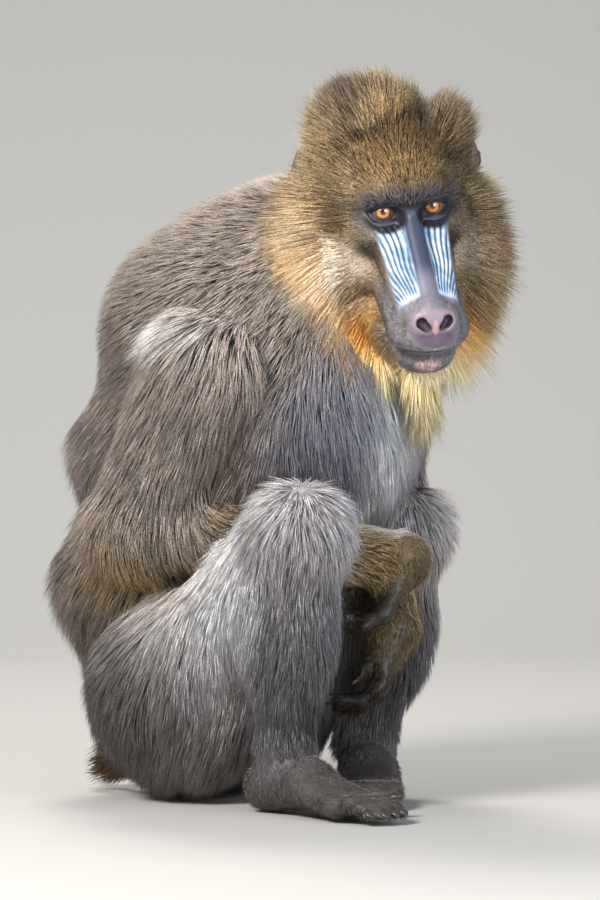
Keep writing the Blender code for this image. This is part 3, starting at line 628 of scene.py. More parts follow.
def new_mesh(name, points, corners, sides):
    """An object from arrays: points, the corners of all faces in a row, and how many sides each face has."""
    mesh = bpy.data.meshes.new(name)
    mesh.vertices.add(len(points))
    mesh.vertices.foreach_set("co", np.ascontiguousarray(points, np.float32).ravel())
    mesh.loops.add(len(corners))
    mesh.loops.foreach_set("vertex_index", np.ascontiguousarray(corners, np.int32))
    mesh.polygons.add(len(sides))
    starts = np.concatenate([[0], np.cumsum(sides)[:-1]])
    mesh.polygons.foreach_set("loop_start", starts.astype(np.int32))
    mesh.polygons.foreach_set("loop_total", np.asarray(sides, np.int32))
    mesh.update(calc_edges=True)
    shade_smooth(mesh)
    return linked(name, mesh)


def quad_mesh(name, points, quads):
    return new_mesh(name, points, quads.ravel(), np.full(len(quads), 4))


def read(elements, field, size, kind=np.float32):
    """One field of a mesh's elements, as an array with a row for each."""
    flat = np.empty(len(elements) * size, kind)
    elements.foreach_get(field, flat)
    return flat.reshape(-1, size)


def points_of(mesh):
    return read(mesh.vertices, "co", 3).astype(float)


def refined(made, wanted, form, reach):
    """Splits the faces that a test of their vertices wants finer, and settles the new points."""
    points = points_of(made.data)
    chosen = wanted(points)
    work = bmesh.new()
    work.from_mesh(made.data)
    work.verts.ensure_lookup_table()
    edges = [e for e in work.edges if chosen[e.verts[0].index] and chosen[e.verts[1].index]]
    bmesh.ops.subdivide_edges(work, edges=edges, cuts=1, use_grid_fill=True)
    work.to_mesh(made.data)
    work.free()
    points = points_of(made.data)
    mask = wanted(points)
    points[mask] = settled(form, points[mask], reach, 2)
    made.data.vertices.foreach_set("co", points.astype(np.float32).ravel())
    made.data.update()
    shade_smooth(made.data)
    return made


def fine_face(points):
    """Near the eyes, ridges, nose and mouth."""
    q = to_head(points)
    return (q[:, 1] < -0.040) & (q[:, 1] > -0.150) & (q[:, 2] < 0.024) & (q[:, 2] > -0.112) & (
        np.abs(q[:, 0]) < 0.037
    )


def finest_face(points):
    """Only the grooved ridges and the lids."""
    q = to_head(points)
    t, out, _ = ridge_place(q)
    on_ridge = (t > -0.25) & (t < 1.12) & (out < 0.034)
    on_ridge &= (q[:, 2] > -0.080) & (q[:, 2] < -0.006) & (q[:, 1] < -0.054)
    near_eye = np.zeros(len(q), bool)
    for s in (-1, 1):
        near_eye |= np.linalg.norm(q - np.array(mirrored(s, EYE)), axis=1) < 0.0155
    return on_ridge | near_eye


def make_skin():
    form = skin_form()
    fine = 0.0026
    rough = 0.0090
    axes = (
        spaced([(-0.17, rough), (-0.085, fine), (0.062, rough), (0.18, rough)]),
        spaced([(-0.25, fine), (-0.130, rough), (0.22, rough)]),
        spaced([(-0.01, rough), (0.385, fine), (0.555, rough), (0.62, rough)]),
    )
    points, quads = surface_net(form, axes)
    points = settled(form, points, 0.0020)
    skin = quad_mesh("skin", points, quads)
    refined(skin, fine_face, form, 0.0012)
    refined(skin, finest_face, form, 0.0008)
    return skin, form


def linear(*levels):
    """A colour named by its 0 to 255 screen levels."""
    return np.array([(v / 255 / 12.92) if v < 10.3 else ((v / 255 + 0.055) / 1.055) ** 2.4 for v in levels])


def coat(dark, middle, pale, agouti=0.0):
    """Colours of a stretch of coat at roots, half way and tips, and the share of banded hairs."""
    return np.concatenate([linear(*dark), linear(*middle), linear(*pale), [agouti]])


BACK = coat((62, 55, 52), (120, 109, 103), (182, 170, 161), 0.28)
MANTLE = coat((70, 61, 55), (118, 106, 99), (186, 174, 164), 0.18)
FLANK = coat((74, 65, 61), (134, 122, 116), (196, 184, 177), 0.24)
UPPER_ARM = coat((62, 57, 56), (144, 132, 128), (222, 208, 196), 0.34)
ELBOW = coat((48, 38, 28), (130, 106, 70), (220, 188, 134), 0.45)
CHEST_COAT = coat((74, 74, 84), (122, 123, 134), (182, 183, 196), 0.12)
BELLY = coat((222, 224, 232), (244, 247, 252), (253, 254, 255), 0.0)
# The leg's silver-grey coat, brightened to near white as a painted highlight on the thighs.
SUNLIT_THIGH = coat((124, 117, 117), (214, 207, 209), (255, 253, 255), 0.06)
# The haunch's grey-brown coat, darkened as painted shade.
SHADED_HAUNCH = coat((42, 37, 35), (76, 69, 66), (120, 111, 107), 0.25)
# The leg's silver-grey coat, darkened as painted shade on the shins and calves.
SHADED_SHIN = coat((54, 52, 55), (104, 102, 106), (164, 162, 167), 0.14)
HAND = coat((20, 18, 19), (48, 44, 40), (100, 90, 70), 0.55)
FOOT = coat((34, 31, 34), (76, 71, 70), (126, 119, 112), 0.35)
TAIL = coat((42, 29, 16), (80, 58, 36), (130, 98, 62), 0.30)
FOREHEAD = coat((42, 33, 23), (110, 88, 57), (188, 154, 104), 0.60)
CROWN = coat((36, 31, 27), (100, 85, 66), (176, 153, 118), 0.70)
DARK_BAND = coat((26, 23, 22), (60, 52, 45), (108, 93, 75), 0.75)
TEMPLE = coat((58, 48, 36), (128, 110, 80), (200, 176, 134), 0.60)
CHEEK = coat((110, 92, 66), (184, 160, 124), (236, 216, 184), 0.32)
PALE_CHEEK = coat((200, 178, 154), (240, 221, 200), (254, 245, 233), 0.12)
ORANGE = coat((214, 132, 46), (252, 184, 84), (255, 214, 132), 0.08)
BEARD = coat((255, 208, 136), (255, 230, 176), (255, 243, 212), 0.0)
FACE_HAIR = coat((62, 60, 65), (112, 108, 113), (168, 164, 167), 0.10)
BROW_HAIR = coat((16, 16, 20), (34, 34, 41), (92, 90, 98), 0.10)


def body_groups():
    """For each part of the body: form, way the hair lies, lift in degrees, longest, width, coat."""
    groups = [
        (egg(*PELVIS), (0.0, 0.50, -1.0), 20, 0.040, 0.00075, SHADED_HAUNCH),
        (egg(*LOIN), (0.0, 0.30, -1.0), 20, 0.045, 0.00080, BACK),
        (egg(*THORAX), (0.0, 0.45, -1.0), 24, 0.048, 0.00080, FLANK),
        (egg(*WITHERS), (-0.10, 0.80, -0.75), 42, 0.066, 0.00080, MANTLE),
        (egg(*CHEST), (0.0, -0.15, -1.0), 20, 0.045, 0.00080, CHEST_COAT),
        (egg(*NAPE), (-0.20, 0.90, 0.10), 46, 0.066, 0.00080, MANTLE),
        (cone(NECK_FROM, NECK_TO, *NECK_RADII), (-0.25, 0.55, -0.75), 26, 0.050, 0.00080, MANTLE),
        (TAIL_COAT, (0.05, 1.0, -0.20), 22, 0.035, 0.00080, TAIL),
    ]
    for side in SIDES:
        s = SIGN[side]
        arm, leg = ARMS[side], LEGS[side]
        shoulder, elbow, wrist = (Vector(j) for j in arm["joints"])
        knee, ankle = (Vector(j) for j in leg["joints"][1:])
        down_arm = tuple((elbow - shoulder).normalized() + Vector((0, 0.05, -0.25)))
        down_forearm = tuple((wrist - elbow).normalized())
        down_shin = tuple((ankle - knee).normalized())
        ahead = Vector(leg["ahead"]).normalized()
        groups += [
            (cone(*arm["joints"][:2], *arm["radii"][:2]), down_arm, 20, 0.048, 0.00080, UPPER_ARM),
            (egg(*arm["drape"]), (s * -0.10, 0.20, -1.0), 16, 0.052, 0.00085, UPPER_ARM),
            (cone(*arm["joints"][1:], *arm["radii"][1:]), down_forearm, 18, 0.022, 0.00065, ELBOW),
            (HANDS[side], tuple(Vector(arm["ahead"]).normalized()), 18, 0.0075, 0.00045, HAND),
            (egg(*leg["haunch"]), (s * 0.05, 0.35, -1.0), 20, 0.040, 0.00080, SHADED_HAUNCH),
            (cone(*leg["joints"][:2], *leg["radii"][:2]), (0.0, 0.12, -1.0), 18, 0.034, 0.00075, SUNLIT_THIGH),
            (cone(*leg["joints"][1:], *leg["radii"][1:]), down_shin, 16, 0.026, 0.00070, SHADED_SHIN),
            (egg(*leg["calf"]), down_shin, 17, 0.030, 0.00070, SHADED_SHIN),
            (FEET[side], tuple(ahead + Vector((0, 0, -0.3))), 18, 0.0080, 0.00048, FOOT),
        ]
    return groups


# On the head: a place in its own frame with x as distance from the middle, the way the hair lies there
# with x pointing outward, lift in degrees, and the coat.
HEAD_ANCHORS = (
    ((0.000, -0.064, 0.013), (0.00, 0.10, 0.90), 34, BROW_HAIR),
    ((0.016, -0.063, 0.012), (0.30, 0.00, 0.80), 36, BROW_HAIR),
    ((0.031, -0.056, 0.010), (0.70, 0.10, 0.60), 34, BROW_HAIR),
    ((0.038, -0.048, 0.000), (0.80, 0.50, 0.00), 22, BROW_HAIR),
    ((0.000, -0.057, 0.025), (0.00, 0.35, 0.90), 26, FOREHEAD),
    ((0.024, -0.052, 0.023), (0.35, 0.35, 0.85), 26, FOREHEAD),
    ((0.000, -0.052, 0.040), (0.00, 0.40, 0.90), 26, FOREHEAD),
    ((0.026, -0.044, 0.038), (0.35, 0.40, 0.85), 28, FOREHEAD),
    ((0.000, -0.032, 0.062), (0.00, 0.45, 0.90), 40, FOREHEAD),
    ((0.024, -0.026, 0.062), (0.25, 0.40, 0.90), 42, CROWN),
    ((0.000, 0.004, 0.080), (0.00, 0.60, 0.80), 52, CROWN),
    ((0.030, 0.004, 0.074), (0.40, 0.55, 0.75), 48, DARK_BAND),
    ((0.052, 0.006, 0.050), (0.75, 0.50, 0.45), 44, CROWN),
    ((0.000, 0.046, 0.050), (0.00, 1.00, 0.10), 40, CROWN),
    ((0.046, -0.036, 0.016), (0.80, 0.50, 0.35), 30, TEMPLE),
    ((0.070, 0.000, 0.018), (0.85, 0.55, 0.15), 40, TEMPLE),
    ((0.080, 0.020, -0.010), (0.85, 0.55, -0.10), 38, TEMPLE),
    ((0.046, -0.040, -0.012), (0.75, 0.60, -0.10), 20, TEMPLE),
    ((0.036, -0.062, -0.030), (0.70, 0.60, -0.20), 16, DARK_BAND),
    ((0.046, -0.040, -0.040), (0.75, 0.55, -0.30), 24, PALE_CHEEK),
    ((0.052, -0.032, -0.054), (0.75, 0.45, -0.45), 26, PALE_CHEEK),
    ((0.066, -0.008, -0.026), (0.80, 0.50, -0.25), 32, CHEEK),
    ((0.068, -0.010, -0.057), (0.75, 0.45, -0.45), 32, ORANGE),
    ((0.074, 0.000, -0.044), (0.75, 0.45, -0.50), 34, ORANGE),
    ((0.076, 0.030, -0.048), (0.75, 0.55, -0.45), 36, ORANGE),
    ((0.070, 0.028, -0.082), (0.65, 0.45, -0.65), 34, ORANGE),
    ((0.040, 0.056, -0.040), (0.55, 0.90, -0.30), 38, CROWN),
    ((0.070, -0.008, -0.080), (0.60, 0.30, -0.75), 32, ORANGE),
    ((0.060, -0.016, -0.104), (0.50, 0.20, -0.85), 28, ORANGE),
    ((0.044, -0.036, -0.070), (0.60, 0.40, -0.65), 22, CHEEK),
    ((0.038, -0.048, -0.098), (0.35, 0.15, -0.90), 26, ORANGE),
    ((0.000, -0.085, -0.124), (0.00, -0.25, -1.00), 24, BEARD),
    ((0.020, -0.074, -0.136), (0.15, -0.15, -1.00), 24, BEARD),
    ((0.000, -0.070, -0.160), (0.00, -0.10, -1.00), 22, BEARD),
    ((0.034, -0.040, -0.135), (0.25, 0.00, -1.00), 26, BEARD),
    ((0.060, 0.014, -0.110), (0.45, 0.25, -0.90), 30, ORANGE),
    ((0.030, -0.080, -0.070), (0.35, 0.85, -0.20), 14, FACE_HAIR),
    ((0.030, -0.105, -0.086), (0.40, 0.80, -0.30), 14, FACE_HAIR),
    ((0.016, -0.132, -0.088), (0.55, 0.40, -0.60), 14, FACE_HAIR),
    ((0.014, -0.112, -0.114), (0.20, 0.10, -0.95), 18, FACE_HAIR),
)


def unit(v):
    return v / np.maximum(np.linalg.norm(v, axis=1, keepdims=True), 1e-9)


def ripple(p, scale, seed):
    """Smooth noise from -1 to 1 that repeats only far off."""
    turn = np.random.default_rng(seed)
    total = np.zeros(len(p))
    for _ in range(6):
        way = turn.normal(size=3)
        way *= turn.uniform(0.6, 1.5) / (np.linalg.norm(way) * scale)
        total += np.sin(p @ way * 2 * math.pi + turn.uniform(0, 6.3))
    return total / 3.2


def patch(p, centre, radii):
    """1 at the middle of an egg, fading to 0 at its surface."""
    away = np.linalg.norm((p - np.array(centre)) / np.array(radii), axis=1)
    return smooth(1.25 - away)


def within_egg(q, centre, radii, soft):
    """1 inside an egg, fading to 0 over that share of its size."""
    return smooth((1.0 + soft / 2 - np.linalg.norm((q - centre) / radii, axis=1)) / soft)


LID_MIDDLE = (0.0205, -0.056, -0.003)


def bare(q):
    """How bare the face is, from 0 in the coat to 1: the ridges, nose, lips and lids."""
    t, out, height = ridge_place(q)
    ridges = smooth((0.0310 - 0.0050 * np.clip(t, 0, 1) - out) / 0.003) * smooth((t + 0.36) / 0.08)
    ridges *= smooth((1.12 - t) / 0.08) * smooth((height + 0.0090) / 0.003)
    ridges *= smooth((-0.050 - q[:, 1]) / 0.004) * smooth((0.0085 - q[:, 2]) / 0.003)
    nose = within_egg(q, (0, -0.131, -0.070), (0.0215, 0.022, 0.0165), 0.15)
    eyes = [within_egg(q, mirrored(s, LID_MIDDLE), (0.0165, 0.018, 0.0115), 0.2) for s in (-1, 1)]
    lips = smooth((0.0030 - np.abs(mouth_line(q))) / 0.001) * smooth((-0.080 - q[:, 1]) / 0.01)
    return np.clip(np.maximum.reduce([ridges, nose, *eyes, lips]), 0, 1)


GROUPS = body_groups()
LIMB_COATS = [*ARM_COATS.values(), *LEG_COATS.values(), *HANDS.values(), *FEET.values()]


def head_share(p):
    """1 in the coat of the head, 0 in that of the body, blended over a narrow seam."""
    head = HEAD_COAT(p)
    body = np.minimum(TRUNK_COAT(p), np.min([form(p) for form in LIMB_COATS], axis=0))
    return smooth(0.5 + (body - head) / 0.014) * smooth((0.030 - head) / 0.015)


def body_field(p):
    """Flow, lift, longest hair, width and coat colours of the body at each point."""
    distances = np.stack([group[0](p) for group in GROUPS], axis=1)
    nearest = distances.min(axis=1, keepdims=True)
    weights = np.exp(-(distances - nearest) / 0.008)
    weights /= weights.sum(axis=1, keepdims=True)
    flow = weights @ np.array([unit(np.array([g[1]], float))[0] for g in GROUPS])
    lift = weights @ np.array([g[2] for g in GROUPS], float)
    longest = weights @ np.array([g[3] for g in GROUPS], float)
    width = weights @ np.array([g[4] for g in GROUPS], float)
    colours = weights @ np.array([g[5] for g in GROUPS])
    for share, other in (
        (patch(p, (0.020, -0.112, 0.252), (0.050, 0.045, 0.036)), BELLY),
        (0.85 * patch(p, (0.012, -0.110, 0.300), (0.036, 0.060, 0.060)), BELLY),
        # Patches of the shaded haunch coat paint shade low on the right haunch and on the left calf.
        (0.80 * patch(p, (-0.108, 0.060, 0.090), (0.050, 0.095, 0.085)), SHADED_HAUNCH),
        (0.55 * patch(p, (0.075, -0.060, 0.120), (0.055, 0.055, 0.100)), SHADED_HAUNCH),
        (0.6 * patch(p, (0.000, -0.030, 0.160), (0.050, 0.050, 0.090)), BELLY),
        (0.85 * patch(p, (-0.118, 0.060, 0.205), (0.075, 0.100, 0.032)), ELBOW),
        (0.75 * patch(p, (0.120, -0.030, 0.220), (0.060, 0.080, 0.032)), ELBOW),
        (0.35 * patch(p, (-0.115, 0.020, 0.400), (0.040, 0.055, 0.016)), BELLY),
        (0.55 * patch(p, (-0.125, 0.125, 0.290), (0.050, 0.030, 0.030)), BELLY),
        # The white belly coat laid on the outer right thigh is a painted highlight.
        (0.60 * patch(p, (-0.116, -0.050, 0.190), (0.040, 0.045, 0.070)), BELLY),
    ):
        colours = colours * (1 - share[:, None]) + share[:, None] * other
    return flow, lift, longest, width, colours


def head_field(p):
    """The same on the head, from the anchors in its own frame."""
    q = to_head(p)
    side = np.where(q[:, 0] < 0, -1.0, 1.0)
    folded = q.copy()
    folded[:, 0] = np.abs(q[:, 0])
    places = np.array([a[0] for a in HEAD_ANCHORS])
    flows = unit(np.array([a[1] for a in HEAD_ANCHORS]))
    away = np.linalg.norm(folded[:, None, :] - places[None], axis=2)
    weights = 1.0 / (away + 0.004) ** 4
    weights /= weights.sum(axis=1, keepdims=True)
    flow = weights @ flows
    flow[:, 0] *= side
    lift = weights @ np.array([a[2] for a in HEAD_ANCHORS], float)
    colours = weights @ np.array([a[3] for a in HEAD_ANCHORS])
    band = smooth(1 - np.abs(np.abs(q[:, 0] + 0.004) - 0.026) / 0.009) * smooth((q[:, 2] - 0.034) / 0.02)
    colours += (0.8 * band)[:, None] * (DARK_BAND - colours)
    # Painted shade: the left cheek and ruff, turned from the key light, are dulled toward the temple's coat.
    far_cheek_shade = 0.6 * smooth((q[:, 0] - 0.030) / 0.015)
    far_cheek_shade *= smooth((q[:, 2] + 0.115) / 0.020) * smooth(-q[:, 2] / 0.030)
    colours += far_cheek_shade[:, None] * (TEMPLE - colours)
    return flow @ np.array(HEAD_TURN).T, lift, colours, q


def coat_field(p):
    """Everything the coat needs to know at each root."""
    flow, lift, longest, width, colours = body_field(p)
    head_flow, head_lift, head_colours, q = head_field(p)
    on = head_share(p)
    share = on[:, None]
    flow = flow * (1 - share) + head_flow * share
    lift = lift * (1 - on) + head_lift * on
    longest = longest * (1 - on) + 0.060 * on
    width = width * (1 - on) * 0.68 + 0.00036 * on
    colours = colours * (1 - share) + head_colours * share
    tone = 1 + 0.16 * ripple(p, 0.030, 3) + 0.10 * ripple(p, 0.008, 5)
    colours[:, :9] *= tone[:, None]
    return {
        "flow": flow, "lift": lift, "longest": longest, "width": width,
        "colours": colours, "on_head": on, "q": q,
    }


RIDGE_BLUE = linear(138, 170, 204)
RIDGE_PALE = linear(196, 213, 230)
# Painted shade in the grooves between the ridges.
GROOVE_SHADE = linear(14, 22, 42)
BRIDGE = linear(48, 55, 74)
BRIDGE_LOW = linear(98, 97, 110)
NOSE = linear(124, 108, 122)
NOSE_LOW = linear(92, 78, 96)
SEPTUM = linear(176, 138, 142)
# Painted shade inside the nostrils.
NOSTRIL_SHADE = linear(12, 9, 12)
LIP_EDGE = linear(172, 166, 176)
CHIN = linear(206, 168, 164)
LIDS = linear(26, 27, 36)
LID_EDGE = linear(92, 96, 112)
MUZZLE_SIDE = linear(110, 106, 113)
EAR_RIM = linear(70, 58, 60)
EAR_CUP = linear(126, 100, 100)


def mixed(base, other, share):
    return base * (1 - share[:, None]) + other * share[:, None]


def skin_colours(p):
    """The skin: the coat's own colours where it is furred, and the markings of the bare face, with painted
    shade in its grooves, nostrils and mouth.
    """
    field = coat_field(p)
    colour = 0.55 * field["colours"][:, 0:3] + 0.45 * field["colours"][:, 3:6]
    q = field["q"]
    on_face = smooth((-0.045 - q[:, 1]) / 0.006) * field["on_head"]
    front = bare(q) * on_face
    t, out, height = ridge_place(q)
    ridge = smooth((t + 0.20) / 0.08) * smooth((1.02 - t) / 0.08) * smooth((out - 0.0066) / 0.0022)
    ridge *= smooth((0.0305 - 0.0050 * t - out) / 0.0025) * smooth((height + 0.0085) / 0.0025)
    face = MUZZLE_SIDE * (1 + 0.22 * ripple(q, 0.006, 9))[:, None]
    blue = mixed(RIDGE_BLUE, RIDGE_PALE, smooth(0.5 + 0.6 * ripple(q, 0.010, 8)))
    middle = smooth((0.0095 + 0.003 * t - out) / 0.003) * smooth((1.35 - t) / 0.15)
    face = mixed(face, BRIDGE, middle)
    face = mixed(face, BRIDGE_LOW, middle * smooth((t - 0.55) / 0.3))
    face = mixed(face, blue, ridge)
    # The grooves are painted dark as shade.
    face = mixed(face, GROOVE_SHADE, groove_depth(q) * 0.95)
    face = mixed(face, NOSE, within_egg(q, (0, -0.131, -0.0655), (0.0205, 0.022, 0.0125), 0.3))
    face = mixed(face, NOSE_LOW, within_egg(q, (0, -0.137, -0.0790), (0.0170, 0.012, 0.0075), 0.5))
    face = mixed(face, SEPTUM, within_egg(q, (0, -0.139, -0.0685), (0.0024, 0.012, 0.0062), 0.8))
    face = mixed(face, CHIN, within_egg(q, (-0.003, -0.117, -0.1130), (0.0110, 0.012, 0.0075), 0.6))
    for s in (-1, 1):
        # The nostrils' openings are painted black as shade.
        face = mixed(face, NOSTRIL_SHADE, smooth((0.0008 - nostril_form(s)(q)) / 0.0010))
        face = mixed(face, LIDS, within_egg(q, mirrored(s, LID_MIDDLE), (0.0185, 0.020, 0.0125), 0.3))
        fold = within_egg(q, (s * 0.0205, -0.056, -0.0080), (0.0085, 0.010, 0.0013), 0.9)
        face = mixed(face, LID_EDGE, 0.7 * fold)
    face = mixed(face, LIDS, smooth((q[:, 2] - 0.0035) / 0.004))
    above = mouth_line(q)
    at_mouth = smooth((-0.080 - q[:, 1]) / 0.01)
    face = mixed(face, LIP_EDGE, 0.8 * smooth((0.0019 - np.abs(above - 0.0026)) / 0.001) * at_mouth)
    # A dark line along the mouth is painted shade in its crease.
    face = mixed(face, LIDS, smooth((0.0015 - np.abs(above)) / 0.0007) * at_mouth)
    colour = mixed(colour, face, np.maximum(front, smooth((-0.085 - q[:, 1]) / 0.01) * field["on_head"]))
    return np.clip(colour, 0.002, 1.0)


def paint(made, colours):
    """Stores one linear colour for each vertex, with an alpha where one is given."""
    attribute = made.data.attributes.new("coat", "FLOAT_COLOR", "POINT")
    whole = np.ones((len(colours), 4), np.float32)
    whole[:, : colours.shape[1]] = colours
    attribute.data.foreach_set("color", whole.ravel())


# Points worked on in one go, to spare memory.
BATCH = 40000


def in_batches(function, points):
    return np.concatenate([function(points[i : i + BATCH]) for i in range(0, len(points), BATCH)])


def unwrap(made):
    """An unwrap of the skin's own shape."""
    bpy.context.view_layer.objects.active = made
    made.select_set(True)
    made.data.uv_layers.new(name="OFBake")
    bpy.ops.object.mode_set(mode="EDIT")
    bpy.ops.mesh.select_all(action="SELECT")
    bpy.ops.uv.smart_project(angle_limit=math.radians(66), island_margin=0.002)
    bpy.ops.object.mode_set(mode="OBJECT")
    made.select_set(False)


def scattered(made, density_of, seed):
    """Random roots over the skin: place, normal and place on its unwrap."""
    random = np.random.default_rng(seed)
    mesh = made.data
    mesh.calc_loop_triangles()
    count = len(mesh.loop_triangles)
    verts = read(mesh.loop_triangles, "vertices", 3, np.int32)
    loops = read(mesh.loop_triangles, "loops", 3, np.int32)
    points = points_of(mesh)
    normals = read(mesh.vertex_normals, "vector", 3)
    uvs = read(mesh.uv_layers["OFBake"].data, "uv", 2)
    corners = points[verts]
    area = np.linalg.norm(np.cross(corners[:, 1] - corners[:, 0], corners[:, 2] - corners[:, 0]), axis=1) / 2
    wanted = area * density_of(corners.mean(axis=1))
    number = np.floor(wanted + random.random(count)).astype(int)
    which = np.repeat(np.arange(count), number)
    a, b = random.random(len(which)), random.random(len(which))
    over = a + b > 1
    a[over], b[over] = 1 - a[over], 1 - b[over]
    weights = np.stack([1 - a - b, a, b], axis=1)[:, :, None]
    roots = (points[verts[which]] * weights).sum(axis=1)
    ups = unit((normals[verts[which]] * weights).sum(axis=1))
    places = (uvs[loops[which]] * weights).sum(axis=1)
    return roots, ups, places


def brow_hair(q):
    """Where the dark brow overhangs the eyes."""
    return within_egg(q, (0, -0.060, 0.0120), (0.040, 0.024, 0.0080), 0.6)


# Tufts on each square metre.
BODY_TUFTS = 290e3
PAW_TUFTS = 420e3
HEAD_TUFTS = 1150e3


def density(p):
    """Tufts wanted on each square metre of skin."""
    q = to_head(p)
    on = head_share(p)
    small = np.minimum.reduce([f[side](p) for f in (HANDS, FEET) for side in SIDES])
    body = np.where(small < 0.004, PAW_TUFTS, BODY_TUFTS)
    head = HEAD_TUFTS * (1 - smooth(bare(q) * 1.6 - 0.3) * smooth((-0.045 - q[:, 1]) / 0.006))
    wanted = body * (1 - on) + head * on
    wanted[p[:, 2] < 0.004] = 0
    return wanted * 1.0


# One tuft in this many draws its neighbours toward it.
CLUMP = 14
# How deep a tuft's foot is in the skin, how near the skin its end may come, and how near the floor.
ROOT_DEPTH = 0.0012
OFF_SKIN = 0.0006
OFF_FLOOR = 0.0015


def longest_at(field, depth, lift):
    """Length that takes a tuft from the skin out to the coat's outline, and no longer than its coat."""
    length = np.clip(depth, 0.0012, None) / np.sin(np.clip(lift, 0.2, 1.2)) * 0.92
    return np.minimum(length, field["longest"])


def least_at(field):
    """Shortest hair: longer on the brow, beside the face, on the forehead and round the ears."""
    q = field["q"]
    folded = np.abs(q) * (1, 0, 0) + q * (0, 1, 1)
    near_ear = np.linalg.norm(folded - np.array(EAR), axis=1)
    least = 0.0024 + 0.0080 * brow_hair(q) + 0.0030 * smooth((np.abs(q[:, 0]) - 0.028) / 0.008)
    least += 0.0060 * smooth((q[:, 2] - 0.016) / 0.010)
    least += 0.020 * smooth((0.044 - near_ear) / 0.018)
    return 0.0022 * (1 - field["on_head"]) + least * field["on_head"]


def leaders(roots, random):
    """For each root, the number of the nearest one that leads a clump."""
    count = len(roots)
    chiefs = random.permutation(count)[: max(1, count // CLUMP)]
    tree = KDTree(len(chiefs))
    for k, chief in enumerate(chiefs):
        tree.insert(roots[chief], k)
    tree.balance()
    return np.array([chiefs[tree.find(root)[1]] for root in roots])


def hair_colours(colours, random):
    """Colours at root, bend and tip of each tuft: some hairs have a dark band, some a black tip."""
    count = len(colours)
    shade = random.uniform(0.80, 1.22, (count, 1))
    dark, mid, pale = (colours[:, i : i + 3] * shade for i in (0, 3, 6))
    banded = random.random(count) < colours[:, 9]
    black = banded & (random.random(count) < 0.5)
    pale = np.where(black[:, None], dark * 0.45, pale)
    mid = np.where((banded & ~black)[:, None], dark * 0.8, mid)
    shades = np.clip(np.stack([dark, mid, pale], axis=1), 0.002, 1.0)
    ticked = np.repeat(np.clip(0.25 + 1.1 * colours[:, 9], 0, 1)[:, None, None], 3, axis=1)
    return np.concatenate([shades, ticked], axis=2)


def shaped(roots, ups, seed):
    """Each tuft's foot, bend and tip, the way it lies, its width and its colours."""
    random = np.random.default_rng(seed)
    count = len(roots)
    pieces = [coat_field(roots[i : i + BATCH]) for i in range(0, count, BATCH)]
    field = {key: np.concatenate([piece[key] for piece in pieces]) for key in pieces[0]}
    flow = field["flow"] + 0.10 * random.normal(size=(count, 3))
    flow[:, 0] += 0.16 * ripple(roots, 0.045, 21)
    flow[:, 1] += 0.16 * ripple(roots, 0.045, 22)
    flow = unit(flow - (flow * ups).sum(axis=1, keepdims=True) * ups)
    lift = np.radians(field["lift"] * random.uniform(0.75, 1.3, count))
    length = longest_at(field, -in_batches(coat_distance, roots), lift) * random.uniform(0.78, 1.16, count)
    length = np.maximum(length, least_at(field))
    start = unit(flow * np.cos(lift * 1.15)[:, None] + ups * np.sin(lift * 1.15)[:, None])
    end = unit(flow * np.cos(lift * 0.55)[:, None] + ups * np.sin(lift * 0.55)[:, None] + (0, 0, -0.10))
    low = roots - ups * ROOT_DEPTH
    middle = roots + start * (length * 0.5)[:, None]
    tip = middle + end * (length * 0.5)[:, None]
    leader = leaders(roots, random)
    pull = np.clip(random.normal(0.34, 0.15, count) - 0.14 * field["on_head"], 0.0, 0.8)[:, None]
    tip = tip + (tip[leader] - tip) * pull
    middle = middle + (middle[leader] - middle) * pull * 0.45
    for share in (1.0, 0.4):
        inside = in_batches(skin_distance, middle + (tip - middle) * share) < OFF_SKIN
        tip[inside] += ups[inside] * (length[inside] * 0.22)[:, None]
    tip[:, 2] = np.maximum(tip[:, 2], OFF_FLOOR)
    middle[:, 2] = np.maximum(middle[:, 2], OFF_FLOOR)
    width = np.minimum(field["width"] * random.uniform(0.7, 1.35, count), 0.00018 + length * 0.05)
    return low, middle, tip, flow, width, hair_colours(field["colours"], random)


# How far along a tuft each ring is, and how wide it is there. The last one is the point.
BENT = ((0.0, 0.85), (0.5, 0.80), (1.0, 0.0))
STRAIGHT = ((0.0, 1.0), (1.0, 0.0))


